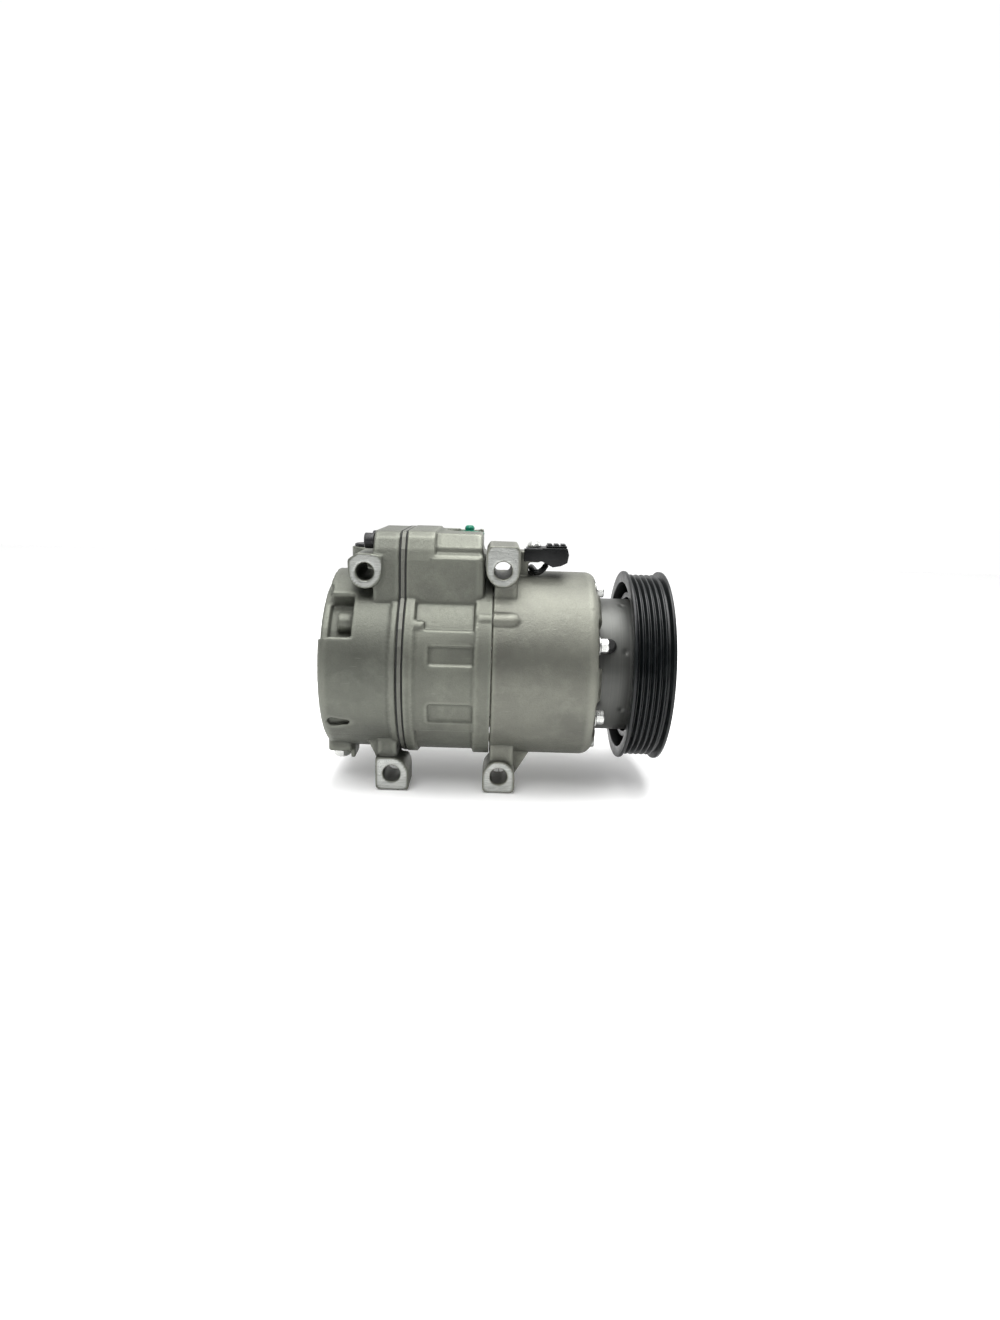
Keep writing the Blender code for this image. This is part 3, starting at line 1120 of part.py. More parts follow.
def main():
    clear_scene()
    cast = material("cast_aluminium", (0.36, 0.37, 0.35), 0.50, 0.85)
    machined = material("machined_steel", (0.55, 0.55, 0.54), 0.30, 1.0)
    zinc = material("zinc_steel", (0.72, 0.72, 0.70), 0.28, 1.0)
    coil_grey = material("coil_grey", (0.33, 0.33, 0.32), 0.45, 0.8)
    enamel = material("black_enamel", (0.012, 0.016, 0.017), 0.30, 0.1)
    plastic = material("black_plastic", (0.015, 0.015, 0.016), 0.45, 0.0)
    rubber = material("rubber", (0.02, 0.02, 0.02), 0.75, 0.0)
    paper = material("gasket_black", (0.03, 0.03, 0.03), 0.70, 0.0)
    brass = material("brass", (0.60, 0.42, 0.16), 0.35, 1.0)
    resin = material("coil_resin", (0.10, 0.035, 0.015), 0.40, 0.0)
    green = material("cap_green", (0.02, 0.22, 0.15), 0.40, 0.0)
    sprung = material("spring_steel", (0.30, 0.30, 0.31), 0.35, 1.0)

    make_front_housing(cast)
    make_cylinder_block(cast)
    make_rear_head(cast)
    make_plates(paper, machined, sprung)
    make_through_bolts(zinc)
    make_socket_screws(enamel)
    make_relief_valve(zinc)
    make_control_valve(brass)
    make_port_cap("discharge_cap", DISCHARGE_PORT, PORT_FACE, green)
    make_port_cap("suction_cap", SUCTION_PORT, SUCTION_FACE, plastic)
    make_connector(plastic, zinc)
    make_coil_lead(plastic, rubber)
    make_shaft(machined)
    swash_rear, swash_front = make_drive(machined, sprung)
    make_pistons(swash_rear, swash_front, machined)
    make_bearings_and_seals(sprung, rubber)
    make_pulley(enamel)
    make_pulley_bearing(machined, brass)
    make_coil(coil_grey, resin)
    make_clutch_hub(machined, sprung, enamel)


main()
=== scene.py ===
import math

import bmesh
import bpy
import numpy as np
from mathutils import Matrix, Vector


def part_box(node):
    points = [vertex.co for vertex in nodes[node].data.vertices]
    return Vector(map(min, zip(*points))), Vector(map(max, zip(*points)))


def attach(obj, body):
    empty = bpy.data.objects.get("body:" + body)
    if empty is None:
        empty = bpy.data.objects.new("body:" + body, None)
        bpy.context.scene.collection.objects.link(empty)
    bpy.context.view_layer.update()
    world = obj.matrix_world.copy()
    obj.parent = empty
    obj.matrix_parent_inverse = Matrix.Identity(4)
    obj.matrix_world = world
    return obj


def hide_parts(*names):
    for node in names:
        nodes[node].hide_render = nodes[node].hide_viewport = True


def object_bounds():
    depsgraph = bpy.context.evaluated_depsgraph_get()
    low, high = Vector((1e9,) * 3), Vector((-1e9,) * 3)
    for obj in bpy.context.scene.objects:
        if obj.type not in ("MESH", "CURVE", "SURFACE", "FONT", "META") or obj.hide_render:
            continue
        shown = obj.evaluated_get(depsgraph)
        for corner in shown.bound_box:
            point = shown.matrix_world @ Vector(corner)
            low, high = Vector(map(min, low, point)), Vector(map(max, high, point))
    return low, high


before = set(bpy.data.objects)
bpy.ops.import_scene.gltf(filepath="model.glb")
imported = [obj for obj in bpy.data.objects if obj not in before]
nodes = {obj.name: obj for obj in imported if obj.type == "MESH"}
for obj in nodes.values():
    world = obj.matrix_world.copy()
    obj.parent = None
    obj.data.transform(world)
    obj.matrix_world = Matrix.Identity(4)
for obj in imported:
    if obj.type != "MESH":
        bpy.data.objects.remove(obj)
cadBounds = [list(map(float, corner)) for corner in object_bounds()]
print("frame loaded:", len(nodes), "nodes")


# a shader socket in an arithmetic expression: each operator adds one Math node
class Wire:
    def __init__(self, maker, socket):
        self.maker = maker
        self.socket = socket

    def maths(self, operation, first, second):
        return self.maker.add("ShaderNodeMath", {"operation": operation}, {0: first, 1: second})

    def __add__(self, other):
        return self.maths("ADD", self, other)

    def __radd__(self, other):
        return self.maths("ADD", other, self)

    def __sub__(self, other):
        return self.maths("SUBTRACT", self, other)

    def __rsub__(self, other):
        return self.maths("SUBTRACT", other, self)

    def __mul__(self, other):
        return self.maths("MULTIPLY", self, other)

    def __rmul__(self, other):
        return self.maths("MULTIPLY", other, self)

    def __pow__(self, other):
        return self.maths("POWER", self, other)


# one material: its shader, and short ways to the nodes that its finishes use
class Finish:
    def __init__(self, name, baseColour, roughness, metallic=0.0, coat=0.0):
        self.material = bpy.data.materials.new(name)
        self.material.use_nodes = True
        self.tree = self.material.node_tree
        self.shader = self.tree.nodes["Principled BSDF"]
        self.set("Base Color", (*baseColour, 1.0))
        self.set("Roughness", roughness)
        self.set("Metallic", metallic)
        if coat:
            self.set("Coat Weight", coat)
            self.set("Coat Roughness", 0.12)
        self.place = self.add("ShaderNodeTexCoord", {}, {}, "Object")

    # settings first, then the values or links of the sockets
    def add(self, kind, settings=None, inputs=None, output=0):
        made = self.tree.nodes.new(kind)
        for key, value in (settings or {}).items():
            if key == "stops":
                ramp = made.color_ramp
                while len(ramp.elements) < len(value):
                    ramp.elements.new(0.5)
                for element, (position, colour) in zip(ramp.elements, value):
                    element.position = position
                    element.color = (*colour, 1.0) if len(colour) == 3 else colour
            else:
                setattr(made, key, value)
        for key, value in (inputs or {}).items():
            if isinstance(value, Wire):
                self.tree.links.new(value.socket, made.inputs[key])
            else:
                made.inputs[key].default_value = value
        return Wire(self, made.outputs[output])

    def set(self, socketName, value):
        if isinstance(value, Wire):
            self.tree.links.new(value.socket, self.shader.inputs[socketName])
        else:
            self.shader.inputs[socketName].default_value = value

    def noise(self, scale, detail=3.0, roughness=0.5, vector=None):
        values = {"Vector": vector or self.place, "Scale": scale, "Detail": detail, "Roughness": roughness}
        return self.add("ShaderNodeTexNoise", {}, values)

    def stretched(self, x, y, z):
        return self.add("ShaderNodeMapping", {}, {"Vector": self.place, "Scale": (x, y, z)})

    def axes(self):
        made = self.tree.nodes.new("ShaderNodeSeparateXYZ")
        self.tree.links.new(self.place.socket, made.inputs[0])
        return [Wire(self, made.outputs[n]) for n in range(3)]

    def attribute(self, name):
        return self.add("ShaderNodeAttribute", {"attribute_name": name}, {}, "Fac")

    def ramp(self, value, low, high, first=0.0, last=1.0):
        values = {"Value": value, "From Min": low, "From Max": high, "To Min": first, "To Max": last}
        return self.add("ShaderNodeMapRange", {"clamp": True}, values)

    def mixed(self, factor, first, second):
        values = {0: factor, 6: first, 7: second}
        return self.add("ShaderNodeMix", {"data_type": "RGBA"}, values, 2)

    def bump(self, height, strength, distance, normal=None):
        values = {"Height": height, "Strength": strength, "Distance": distance}
        if normal:
            values["Normal"] = normal
        return self.add("ShaderNodeBump", {}, values)


def colour(r, g, b):
    # display colour of 0 to 255 to linear light: a straight part near black, then a power of 2.4
    values = np.array((r, g, b)) / 255
    linear = np.where(values <= 0.04045, values / 12.92, ((values + 0.055) / 1.055) ** 2.4)
    return tuple(float(v) for v in linear)


# sand-cast aluminium: fine grain over broad blotches, stains, specks and scratches, a painted highlight on
# convex edges, painted shade in corners, and milled bright where the attribute "cut" is one
def castFinish(name, tone, seed):
    made = Finish(name, tone, 0.5, 0.6)
    shifted = made.add("ShaderNodeMapping", {}, {"Vector": made.place, "Location": (seed, seed * 0.7, -seed)})
    grain = made.noise(1500, 4, 0.65, shifted)
    pits = made.noise(620, 2, 0.6, shifted)
    blotch = made.noise(26, 4, 0.6, shifted)
    stain = made.noise(75, 5, 0.65, shifted)
    edge = made.attribute("edge")
    cutFace = made.ramp(made.attribute("cut"), 0.45, 0.75)
    dark = tuple(v * 0.62 for v in tone)
    light = tuple(min(1.0, v * 1.32) for v in tone)
    base = made.mixed(made.ramp(blotch, 0.30, 0.62), (*dark, 1), (*tone, 1))
    base = made.mixed(made.ramp(stain, 0.52, 0.70) * 0.35, base, (*light, 1))
    base = made.mixed(made.ramp(grain, 0.30, 0.72) * 0.30, base, (*dark, 1))
    # painted highlight: lighter where the attribute "edge" is above 0, on convex edges
    base = made.mixed(made.ramp(edge, 0.15, 0.75) * 0.55, base, (*light, 1))
    # painted shade: darker where the attribute "edge" is below 0, in corners and creases
    base = made.mixed(made.ramp(edge, -0.12, -0.60) * 0.60, base, (*dark, 1))
    speck = made.noise(330, 6, 0.75, shifted)
    base = made.mixed(made.ramp(speck, 0.66, 0.74) * 0.55, base, (*dark, 1))
    scratch = made.noise(1.0, 2, 0.5, made.stretched(90, 1900, 1500))
    base = made.mixed(made.ramp(scratch, 0.70, 0.76) * 0.40, base, (*light, 1))
    streak = made.noise(1.0, 3, 0.6, made.stretched(220, 60, 2600))
    milled = (*colour(186, 188, 184), 1), (*colour(150, 152, 148), 1)
    bright = made.mixed(made.ramp(streak, 0.35, 0.7), *milled)
    made.set("Base Color", made.mixed(cutFace, base, bright))
    rough = made.ramp(grain, 0.3, 0.75, 0.40, 0.60) + made.ramp(blotch, 0.35, 0.7, -0.04, 0.08)
    made.set("Roughness", rough - cutFace * 0.16)
    made.set("Metallic", made.ramp(blotch, 0.3, 0.7, 0.62, 0.80))
    rolled = made.bump(pits, 0.35, 0.0004)
    made.set("Normal", made.bump(grain * (1.0 - cutFace * 0.8), 0.55, 0.00022, rolled))
    return made.material


# black electro-coat: slight orange peel, dust that greys and dulls it
def enamelFinish():
    made = Finish("blackEnamel", colour(12, 16, 17), 0.36, 0.0, 0.08)
    made.set("Specular IOR Level", 0.3)
    orange = made.noise(900, 2, 0.5)
    dust = made.noise(140, 5, 0.7)
    clean, dusty = (*colour(11, 15, 16), 1), (*colour(34, 38, 38), 1)
    made.set("Base Color", made.mixed(made.ramp(dust, 0.50, 0.78) * 0.55, clean, dusty))
    made.set("Roughness", made.ramp(dust, 0.3, 0.8, 0.30, 0.52))
    made.set("Normal", made.bump(orange, 0.12, 0.0003))
    return made.material


def turnedFinish(name, tone, roughness, metallic, ringScale, depth):
    # lathe marks: noise that varies quickly along the shaft and with radius, and hardly round it
    made = Finish(name, tone, roughness, metallic)
    x, y, z = made.axes()
    radius = (y * y + z * z) ** 0.5
    across = made.add("ShaderNodeCombineXYZ", {}, {0: x * ringScale, 1: radius * ringScale, 2: 0.0})
    rings = made.noise(1.0, 4, 0.7, across)
    blotch = made.noise(60, 4, 0.6)
    dark = tuple(v * 0.66 for v in tone)
    base = made.mixed(made.ramp(rings, 0.3, 0.7), (*dark, 1), (*tone, 1))
    made.set("Base Color", made.mixed(made.ramp(blotch, 0.45, 0.75) * 0.35, base, (*dark, 1)))
    made.set("Roughness", made.ramp(rings, 0.3, 0.7, roughness - 0.08, roughness + 0.10))
    made.set("Normal", made.bump(rings, depth, 0.0002))
    return made.material


# zinc plate: cloudy, with fine scratches along one way
def platedFinish(name, tone, roughness):
    made = Finish(name, tone, roughness, 0.8)
    cloud = made.noise(300, 4, 0.6)
    scratch = made.noise(1.0, 3, 0.6, made.stretched(400, 5200, 900))
    shade = tuple(v * 0.7 for v in tone)
    made.set("Base Color", made.mixed(made.ramp(cloud, 0.4, 0.75), (*tone, 1), (*shade, 1)))
    made.set("Roughness", made.ramp(cloud, 0.3, 0.75, roughness - 0.06, roughness + 0.12))
    made.set("Normal", made.bump(scratch, 0.10, 0.0002))
    return made.material


# moulded plastic, rubber and coated sheet: a grained skin with paler scuffs
def mouldedFinish(name, tone, roughness, grain=1300, depth=0.18):
    made = Finish(name, tone, roughness)
    made.set("Specular IOR Level", 0.3)
    skin = made.noise(grain, 3, 0.6)
    scuff = made.noise(210, 5, 0.7)
    worn = tuple(min(1.0, v * 1.6 + 0.006) for v in tone)
    made.set("Base Color", made.mixed(made.ramp(scuff, 0.52, 0.8) * 0.6, (*tone, 1), (*worn, 1)))
    made.set("Roughness", made.ramp(scuff, 0.3, 0.8, roughness - 0.08, roughness + 0.12))
    made.set("Normal", made.bump(skin, depth, 0.0002))
    return made.material


finishes = {
    "castFront": castFinish("castFront", colour(121, 122, 113), 0.0),
    "castBlock": castFinish("castBlock", colour(115, 117, 108), 3.1),
    "castRear": castFinish("castRear", colour(107, 109, 101), 5.7),
    "enamel": enamelFinish(),
    "coilGrey": turnedFinish("coilGrey", colour(96, 97, 94), 0.42, 0.6, 900, 0.10),
    "machined": turnedFinish("machinedSteel", colour(196, 196, 193), 0.32, 1.0, 2600, 0.12),
    "friction": turnedFinish("frictionSteel", colour(128, 128, 128), 0.38, 1.0, 3200, 0.20),
    "spring": turnedFinish("springSteel", colour(120, 121, 124), 0.36, 1.0, 1200, 0.08),
    "brass": turnedFinish("turnedBrass", colour(190, 152, 84), 0.34, 1.0, 1800, 0.12),
    "zinc": platedFinish("zincPlate", colour(206, 207, 204), 0.28),
    "plastic": mouldedFinish("blackPlastic", colour(15, 16, 17), 0.40),
    "oxide": mouldedFinish("blackOxide", colour(38, 38, 39), 0.36, 2200, 0.10),
    "rubber": mouldedFinish("softRubber", colour(34, 34, 34), 0.70, 900, 0.25),
    "gasket": mouldedFinish("gasketSheet", colour(40, 41, 40), 0.68, 1800, 0.20),
    "resin": mouldedFinish("coilResin", colour(92, 52, 34), 0.46, 700, 0.20),
    "green": mouldedFinish("capGreen", colour(16, 116, 92), 0.40, 1500, 0.12),
    "plate": turnedFinish("plateSteel", colour(112, 113, 106), 0.50, 0.6, 1500, 0.10),
    "piston": turnedFinish("pistonAluminium", colour(206, 206, 204), 0.36, 0.9, 2200, 0.10),
}
print("finishes made:", len(finishes))


# a mesh from points and faces, its doubles merged and its faces turned outwards
def newPiece(name, points, faces, finish, body, stands=(), smooth=35):
    mesh = bpy.data.meshes.new(name)
    mesh.from_pydata(points.tolist(), [], faces)
    bm = bmesh.new()
    bm.from_mesh(mesh)
    bmesh.ops.remove_doubles(bm, verts=bm.verts, dist=1e-7)
    bm.normal_update()
    bmesh.ops.recalc_face_normals(bm, faces=bm.faces)
    bm.to_mesh(mesh)
    bm.free()
    mesh.shade_smooth()
    mesh.set_sharp_from_angle(angle=math.radians(smooth))
    mesh.materials.append(finishes[finish])
    piece = bpy.data.objects.new(name, mesh)
    bpy.context.scene.collection.objects.link(piece)
    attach(piece, body)
    if stands:
        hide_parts(*stands)
    return piece


def gridFaces(rows, columns, closeRows=False, closeColumns=True):
    # quads of a grid whose points are stored row by row
    i = np.arange(rows if closeRows else rows - 1)
    j = np.arange(columns if closeColumns else columns - 1)
    i, j = np.meshgrid(i, j, indexing="ij")
    k, m = (i + 1) % rows, (j + 1) % columns
    quads = np.stack([i * columns + j, k * columns + j, k * columns + m, i * columns + m], -1)
    return quads.reshape(-1, 4).tolist()


def roundCorners(corners, steps=4):
    # each corner (x, r, fillet) of a closed profile gives way to a quadratic curve from side to side,
    # with the corner as its handle
    places = np.array([(x, r) for x, r, _ in corners], float)
    made = []
    for n, (_, _, fillet) in enumerate(corners):
        here, before, after = places[n], places[n - 1], places[(n + 1) % len(places)]
        back, onward = before - here, after - here
        backLength, onwardLength = np.linalg.norm(back), np.linalg.norm(onward)
        back, onward = back / backLength, onward / onwardLength
        half = math.acos(float(np.clip(np.dot(back, onward), -1, 1))) / 2
        if fillet <= 0 or here[1] <= 0 or half > 1.56:
            made.append(here[None])
            continue
        reach = min(fillet / math.tan(half), 0.45 * backLength, 0.45 * onwardLength)
        t = np.linspace(0, 1, steps + 1)[:, None]
        first, last = here + back * reach, here + onward * reach
        made.append((1 - t) ** 2 * first + 2 * t * (1 - t) * here + t**2 * last)
    return np.concatenate(made)


def turnedGrid(profile, sides, axis="X", at=(0.0, 0.0), shape=None):
    # radius r at distance x, carried round the axis; shape(angle, x, r) may pull the radius in
    angle = np.arange(sides) * 2 * np.pi / sides
    x, r = np.repeat(profile[:, :1], sides, 1), np.repeat(profile[:, 1:], sides, 1)
    a = np.repeat(angle[None], len(profile), 0)
    if shape:
        r = shape(a, x, r)
    b, c = r * np.cos(a) + at[0], r * np.sin(a) + at[1]
    order = {"X": (x, b, c), "Y": (b, x, c), "Z": (b, c, x)}[axis]
    return np.stack(order, -1).reshape(-1, 3)


def turnedPiece(
    name, corners, finish, body, slot, stands, sides=128, axis="X", at=(0.0, 0.0), steps=4, shape=None
):
    # the rounded profile carried once round the axis
    profile = roundCorners(corners, steps)
    points = turnedGrid(profile, sides, axis, at, shape)
    faces = gridFaces(len(profile), sides, closeRows=True)
    return newPiece(name, points, faces, finish, body, stands)


def mm(*corners):
    # millimetres to metres, with a fillet of 0.3 mm where none is given
    return [(c[0] / 1000, c[1] / 1000, (c[2] if len(c) > 2 else 0.3) / 1000) for c in corners]


def centreOf(node, axis):
    # middle of a node's box across an axis
    low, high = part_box(node)
    centre = (np.array(low) + np.array(high)) / 2
    keep = {"X": (1, 2), "Y": (0, 2), "Z": (0, 1)}[axis]
    return tuple(float(centre[k]) for k in keep)


def endsOf(node, axis):
    # the two ends of a node's box along an axis, in millimetres
    low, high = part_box(node)
    k = "XYZ".index(axis)
    return float(low[k]) * 1000, float(high[k]) * 1000


def turnedBox(node):
    # rear end, front end and radius of a node turned about the shaft, in millimetres to the hundredth
    low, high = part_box(node)
    return tuple(round(float(v) * 1000, 2) for v in (low[0], high[0], high[2]))


# castings: the CAD solids with cast fillets
gap = 0.3  # millimetres between a part and the neighbour it sits against
blockRear, blockFront, _ = (v / 1000 for v in turnedBox("cylinder_block"))
seam = blockFront + gap / 1000
headRear = turnedBox("rear_head")[0] / 1000
headFront = (turnedBox("head_gasket")[0] - gap) / 1000
castSettings = {
    "depth": 7,  # halvings of the box that the solid is remeshed in
    "fill": 0.97,  # share of that box which the solid takes
    "rounds": 2,  # times that each point moves towards its neighbours
    "pull": 0.6,  # share of the way that it moves each time
    "polygon": math.cos(math.pi / 36),  # a polygon side's middle, as a share of its radius
    "under": 0.00012,  # how far inside and outside the polygon a point still counts as on it
    "over": 0.00015,
    "facePlane": -0.042,  # the lugs' machined faces
    "faceReach": 0.00025,
    "joints": [seam, blockFront, blockRear, headFront],
    "jointReach": 0.0002,
    "bend": 0.00012,  # the height above its neighbours at which a point is a full edge
}


def softCasting(name, nodeName, finish, radii):
    # the solid is remeshed evenly, its polygon sides are pushed out to true circles,
    # its edges are rounded by averaging neighbours, and its machined faces are flattened again
    c = castSettings
    source = nodes[nodeName].data.copy()
    bm = bmesh.new()
    bm.from_mesh(source)
    bmesh.ops.remove_doubles(bm, verts=bm.verts, dist=1e-6)
    bm.to_mesh(source)
    bm.free()
    holder = bpy.data.objects.new(name, source)
    bpy.context.scene.collection.objects.link(holder)
    remesh = holder.modifiers.new("even", "REMESH")
    remesh.mode = "SHARP"
    remesh.octree_depth = c["depth"]
    remesh.scale = c["fill"]
    remesh.use_remove_disconnected = False
    graph = bpy.context.evaluated_depsgraph_get()
    mesh = bpy.data.meshes.new_from_object(holder.evaluated_get(graph))
    holder.modifiers.clear()
    holder.data = mesh
    count = len(mesh.vertices)
    p = np.empty(count * 3)
    mesh.vertices.foreach_get("co", p)
    p = p.reshape(-1, 3)
    edges = np.empty(len(mesh.edges) * 2, np.int64)
    mesh.edges.foreach_get("vertices", edges)
    a, b = edges.reshape(-1, 2).T
    degree = np.bincount(a, minlength=count) + np.bincount(b, minlength=count)

    def averaged(values):
        # the mean of each point's neighbours along the edges
        columns = []
        for column in values.T:
            columns.append((np.bincount(a, column[b], count) + np.bincount(b, column[a], count)) / degree)
        return np.stack(columns, -1)

    def toCircles(p):
        # a point between a polygon's side and its circle is moved out to the circle
        r = np.hypot(p[:, 1], p[:, 2])
        for low, high, radius in radii:
            wanted = radius(p[:, 0]) if callable(radius) else np.full(count, radius)
            near = (p[:, 0] > low) & (p[:, 0] < high)
            near &= (r > wanted * c["polygon"] - c["under"]) & (r < wanted + c["over"])
            scale = np.where(near, wanted / np.maximum(r, 1e-6), 1.0)
            p[:, 1] *= scale
            p[:, 2] *= scale
            r *= scale
        return p

    p = toCircles(p)
    start = p.copy()
    for _ in range(c["rounds"]):
        p = p + c["pull"] * (averaged(p) - p)
    moved = np.linalg.norm(p - start, axis=1)
    p = toCircles(p)
    inFace = np.abs(start[:, 1] - c["facePlane"]) < c["faceReach"]
    p[inFace, 1] = c["facePlane"]
    for joint in c["joints"]:
        onJoint = np.abs(start[:, 0] - joint) < c["jointReach"]
        p[onJoint] = start[onJoint]
    mesh.vertices.foreach_set("co", p.reshape(-1))
    mesh.update()
    normals = np.empty(count * 3)
    mesh.vertices.foreach_get("normal", normals)
    normals = normals.reshape(-1, 3)
    # how far the neighbours lie below a point along its normal: above 0 on edges, below 0 in corners
    wide = averaged(averaged(p))
    bend = np.einsum("ij,ij->i", p - wide, normals) / c["bend"]
    edgeValue = averaged(np.clip(bend, -1, 1)[:, None])[:, 0]
    cutValue = (inFace & (normals[:, 1] < -0.85)).astype(float)[:, None]
    for _ in range(3):
        cutValue = averaged(cutValue)
    cutValue = cutValue[:, 0]
    # "edge" drives the painted highlight on edges and the painted shade in corners of the cast finishes
    for title, values in (("edge", edgeValue), ("cut", cutValue)):
        attribute = mesh.attributes.new(title, "FLOAT", "POINT")
        attribute.data.foreach_set("value", values.astype(np.float32))
    mesh.materials.clear()
    mesh.materials.append(finishes[finish])
    mesh.shade_smooth()
    holder.name = name
    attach(holder, "body")
    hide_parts(nodeName)
    print(name, "points", count, "largest shift mm", round(1000 * float(moved.max()), 2))
    return holder


def housingRadius(x):
    # one radius up to the round, then a quarter circle that ends at the front face
    fillet, face, radius = 0.0078, -0.0485, 0.0608
    along = np.clip(x - (face - fillet), 0, fillet)
    return radius - fillet + np.sqrt(np.maximum(fillet**2 - along**2, 0))


def headRadius(x):
    # one radius from the flange, then a quarter circle that ends at the rear face
    fillet, radius = 0.0050, 0.0590
    along = np.clip(headRear + fillet - x, 0, fillet)
    return radius - fillet + np.sqrt(np.maximum(fillet**2 - along**2, 0))


# each row is a span along the shaft and the radius of the circle in it
castCircles = {
    "front": [
        (seam - 0.001, -0.0487, housingRadius),
        (-0.0516, -0.0365, 0.0200),
        (-0.038, -0.012, 0.0175),
    ],
    "block": [(-0.17, -0.115, 0.0620), (-0.17, -0.115, 0.0612), (-0.17, -0.115, 0.0596)],
    "rear": [(-0.1782, headFront + 0.001, 0.0600), (headRear, -0.1782, headRadius)],
}
softCasting("frontHousingCast", "front_housing", "castFront", castCircles["front"])
softCasting("cylinderBlockCast", "cylinder_block", "castBlock", castCircles["block"])
softCasting("rearHeadCast", "rear_head", "castRear", castCircles["rear"])
print("castings done")


# pulley: six V grooves, rolled edges, recessed friction face
pulleySettings = {
    "inside": 55.2,
    "ribTip": 60.2,
    "grooves": 6,
    "pitch": 3.56,
    "depth": 2.75,
    "tipHalf": 1.42,  # from a groove's centre to the rib's top
    "floorHalf": 0.28,
}


def pulleyProfile():
    # the rim's section: flange, then down and up once for each groove, flange, and the front recess
    s = pulleySettings
    rear, front, flange = turnedBox("pulley_rim")
    beltPlane, friction = (rear + front) / 2, turnedBox("pulley_rotor")[1]
    first = beltPlane - s["pitch"] * (s["grooves"] - 1) / 2
    floor = s["ribTip"] - s["depth"]
    corners = [(rear, s["inside"], 0.6), (rear, flange, 1.0)]
    corners.append((first - s["pitch"] / 2 - 0.2, flange, 0.5))
    for n in range(s["grooves"]):
        centre = first + n * s["pitch"]
        corners += [(centre - s["tipHalf"], s["ribTip"], 0.25), (centre - s["floorHalf"], floor, 0.2)]
        corners += [(centre + s["floorHalf"], floor, 0.2), (centre + s["tipHalf"], s["ribTip"], 0.25)]
    corners.append((beltPlane + s["pitch"] * s["grooves"] / 2 + 0.2, flange, 0.5))
    corners += [(front, flange, 1.0), (front, 60.3, 0.5), (front - 1.2, 59.6, 0.5)]
    corners += [(front - 1.8, 58.6, 0.4), (friction, 58.4, 0.5), (friction, s["inside"], 0.2)]
    return mm(*corners)


def rotorProfile():
    # friction face with a shallow ring groove, bearing seat with its front lip, hub, web and pole ring
    rear, front, outer = turnedBox("pulley_rotor")
    seat = turnedBox("bearing_outer_race")[2] + gap
    lip, hub, web = seat - 2.7, seat + 4.0, front - 4.7
    poleRear, poleInside, poleOutside = -27.0, 45.0, 48.5
    return mm(
        (front, outer, 0.2), (front, 44.0, 0.2), (front - 0.5, 43.6, 0.2), (front - 0.5, 41.2, 0.2),
        (front, 40.8, 0.2), (front, lip, 0.4), (-16.2, lip, 0.2), (-16.2, seat, 0.1), (rear, seat, 0.3),
        (rear, hub, 0.5), (web, hub, 1.2), (web, poleInside, 1.2), (poleRear, poleInside, 0.4),
        (poleRear, poleOutside, 0.6), (web, poleOutside, 1.5), (web, outer, 0.3),
    )


blackPulley = ("enamel", "pulley", "black_enamel")
turnedPiece("pulleyRim", pulleyProfile(), *blackPulley, ["pulley_rim"], sides=192, steps=3)
turnedPiece("pulleyRotor", rotorProfile(), *blackPulley, ["pulley_rotor"], sides=160, steps=3)

coilSettings = {
    "floor": 2.7,
    "inner": 33.2,
    "hole": 20.4,
    "wall": 2.1,
    "outside": 0.0436,  # metres: beyond this radius a point is on the outer wall
    "rowStep": 0.0006,
    "sides": 256,
    "marks": [72.5, 22.5, -28.75, -80, 125, 176, -131],  # degrees from -Y
    "markPlace": -0.0330,
    "markRadius": 0.0016,
    "markDepth": 0.0006,
}


def coilProfile():
    # a channel that opens to the front: outer wall, back, inner wall
    s = coilSettings
    rear, front, rim = turnedBox("coil_shell")
    back, hole = rear + s["floor"], s["hole"]
    inside, outside = s["inner"] + s["wall"], rim - s["wall"]
    return mm(
        (rear, hole, 0.3), (rear, rim, 2.4), (front, rim, 0.6), (front, outside, 0.4), (back, outside, 0.6),
        (back, inside, 0.6), (front, inside, 0.4), (front, s["inner"], 0.4), (back, s["inner"], 1.6),
        (back, hole, 0.4),
    )


def stakeMarks(a, x, r):
    # round punch marks on the outer wall, each as deep as a bell curve of the distance from its centre
    s = coilSettings
    outer = r > s["outside"]
    radius = turnedBox("coil_shell")[2] / 1000
    for mark in np.radians(s["marks"]):
        # the grid's angle 0 is +Y, and the mark's angle is counted from -Y
        away = np.angle(np.exp(1j * (a - (np.pi - mark)))) * radius
        distance = np.hypot(away, x - s["markPlace"]) / s["markRadius"]
        r = r - outer * s["markDepth"] * np.exp(-(distance**2))
    return r


def coilPiece():
    # the turned channel, with rows of its own on the long outer wall so that its marks have points to move
    s = coilSettings
    profile = roundCorners(coilProfile(), 4)
    dense = []
    for here, after in zip(profile, np.roll(profile, -1, 0)):
        length = np.linalg.norm(after - here)
        onWall = here[1] > s["outside"] and after[1] > s["outside"]
        count = max(1, int(length / s["rowStep"])) if onWall else 1
        t = np.arange(count)[:, None] / count
        dense.append(here + (after - here) * t)
    dense = np.concatenate(dense)
    points = turnedGrid(dense, s["sides"], shape=stakeMarks)
    faces = gridFaces(len(dense), s["sides"], closeRows=True)
    return newPiece("coilShell", points, faces, "coilGrey", "body", ["coil_shell"])


coilPiece()
print("pulley and coil done")


# bolts
def hexShape(flats, turn=0.0, above=None):
    # distance to a hexagon's side at an angle, never more than the turned radius
    def shape(a, x, r):
        within = (a + turn) % (np.pi / 3) - np.pi / 6
        side = flats / 2 / np.cos(within)
        hexed = np.minimum(r, side)
        return hexed if above is None else np.where(above(x), hexed, r)

    return shape


boltSettings = {"circle": 0.0523, "phase": 24.5, "flats": 0.0080, "seat": -51.0}


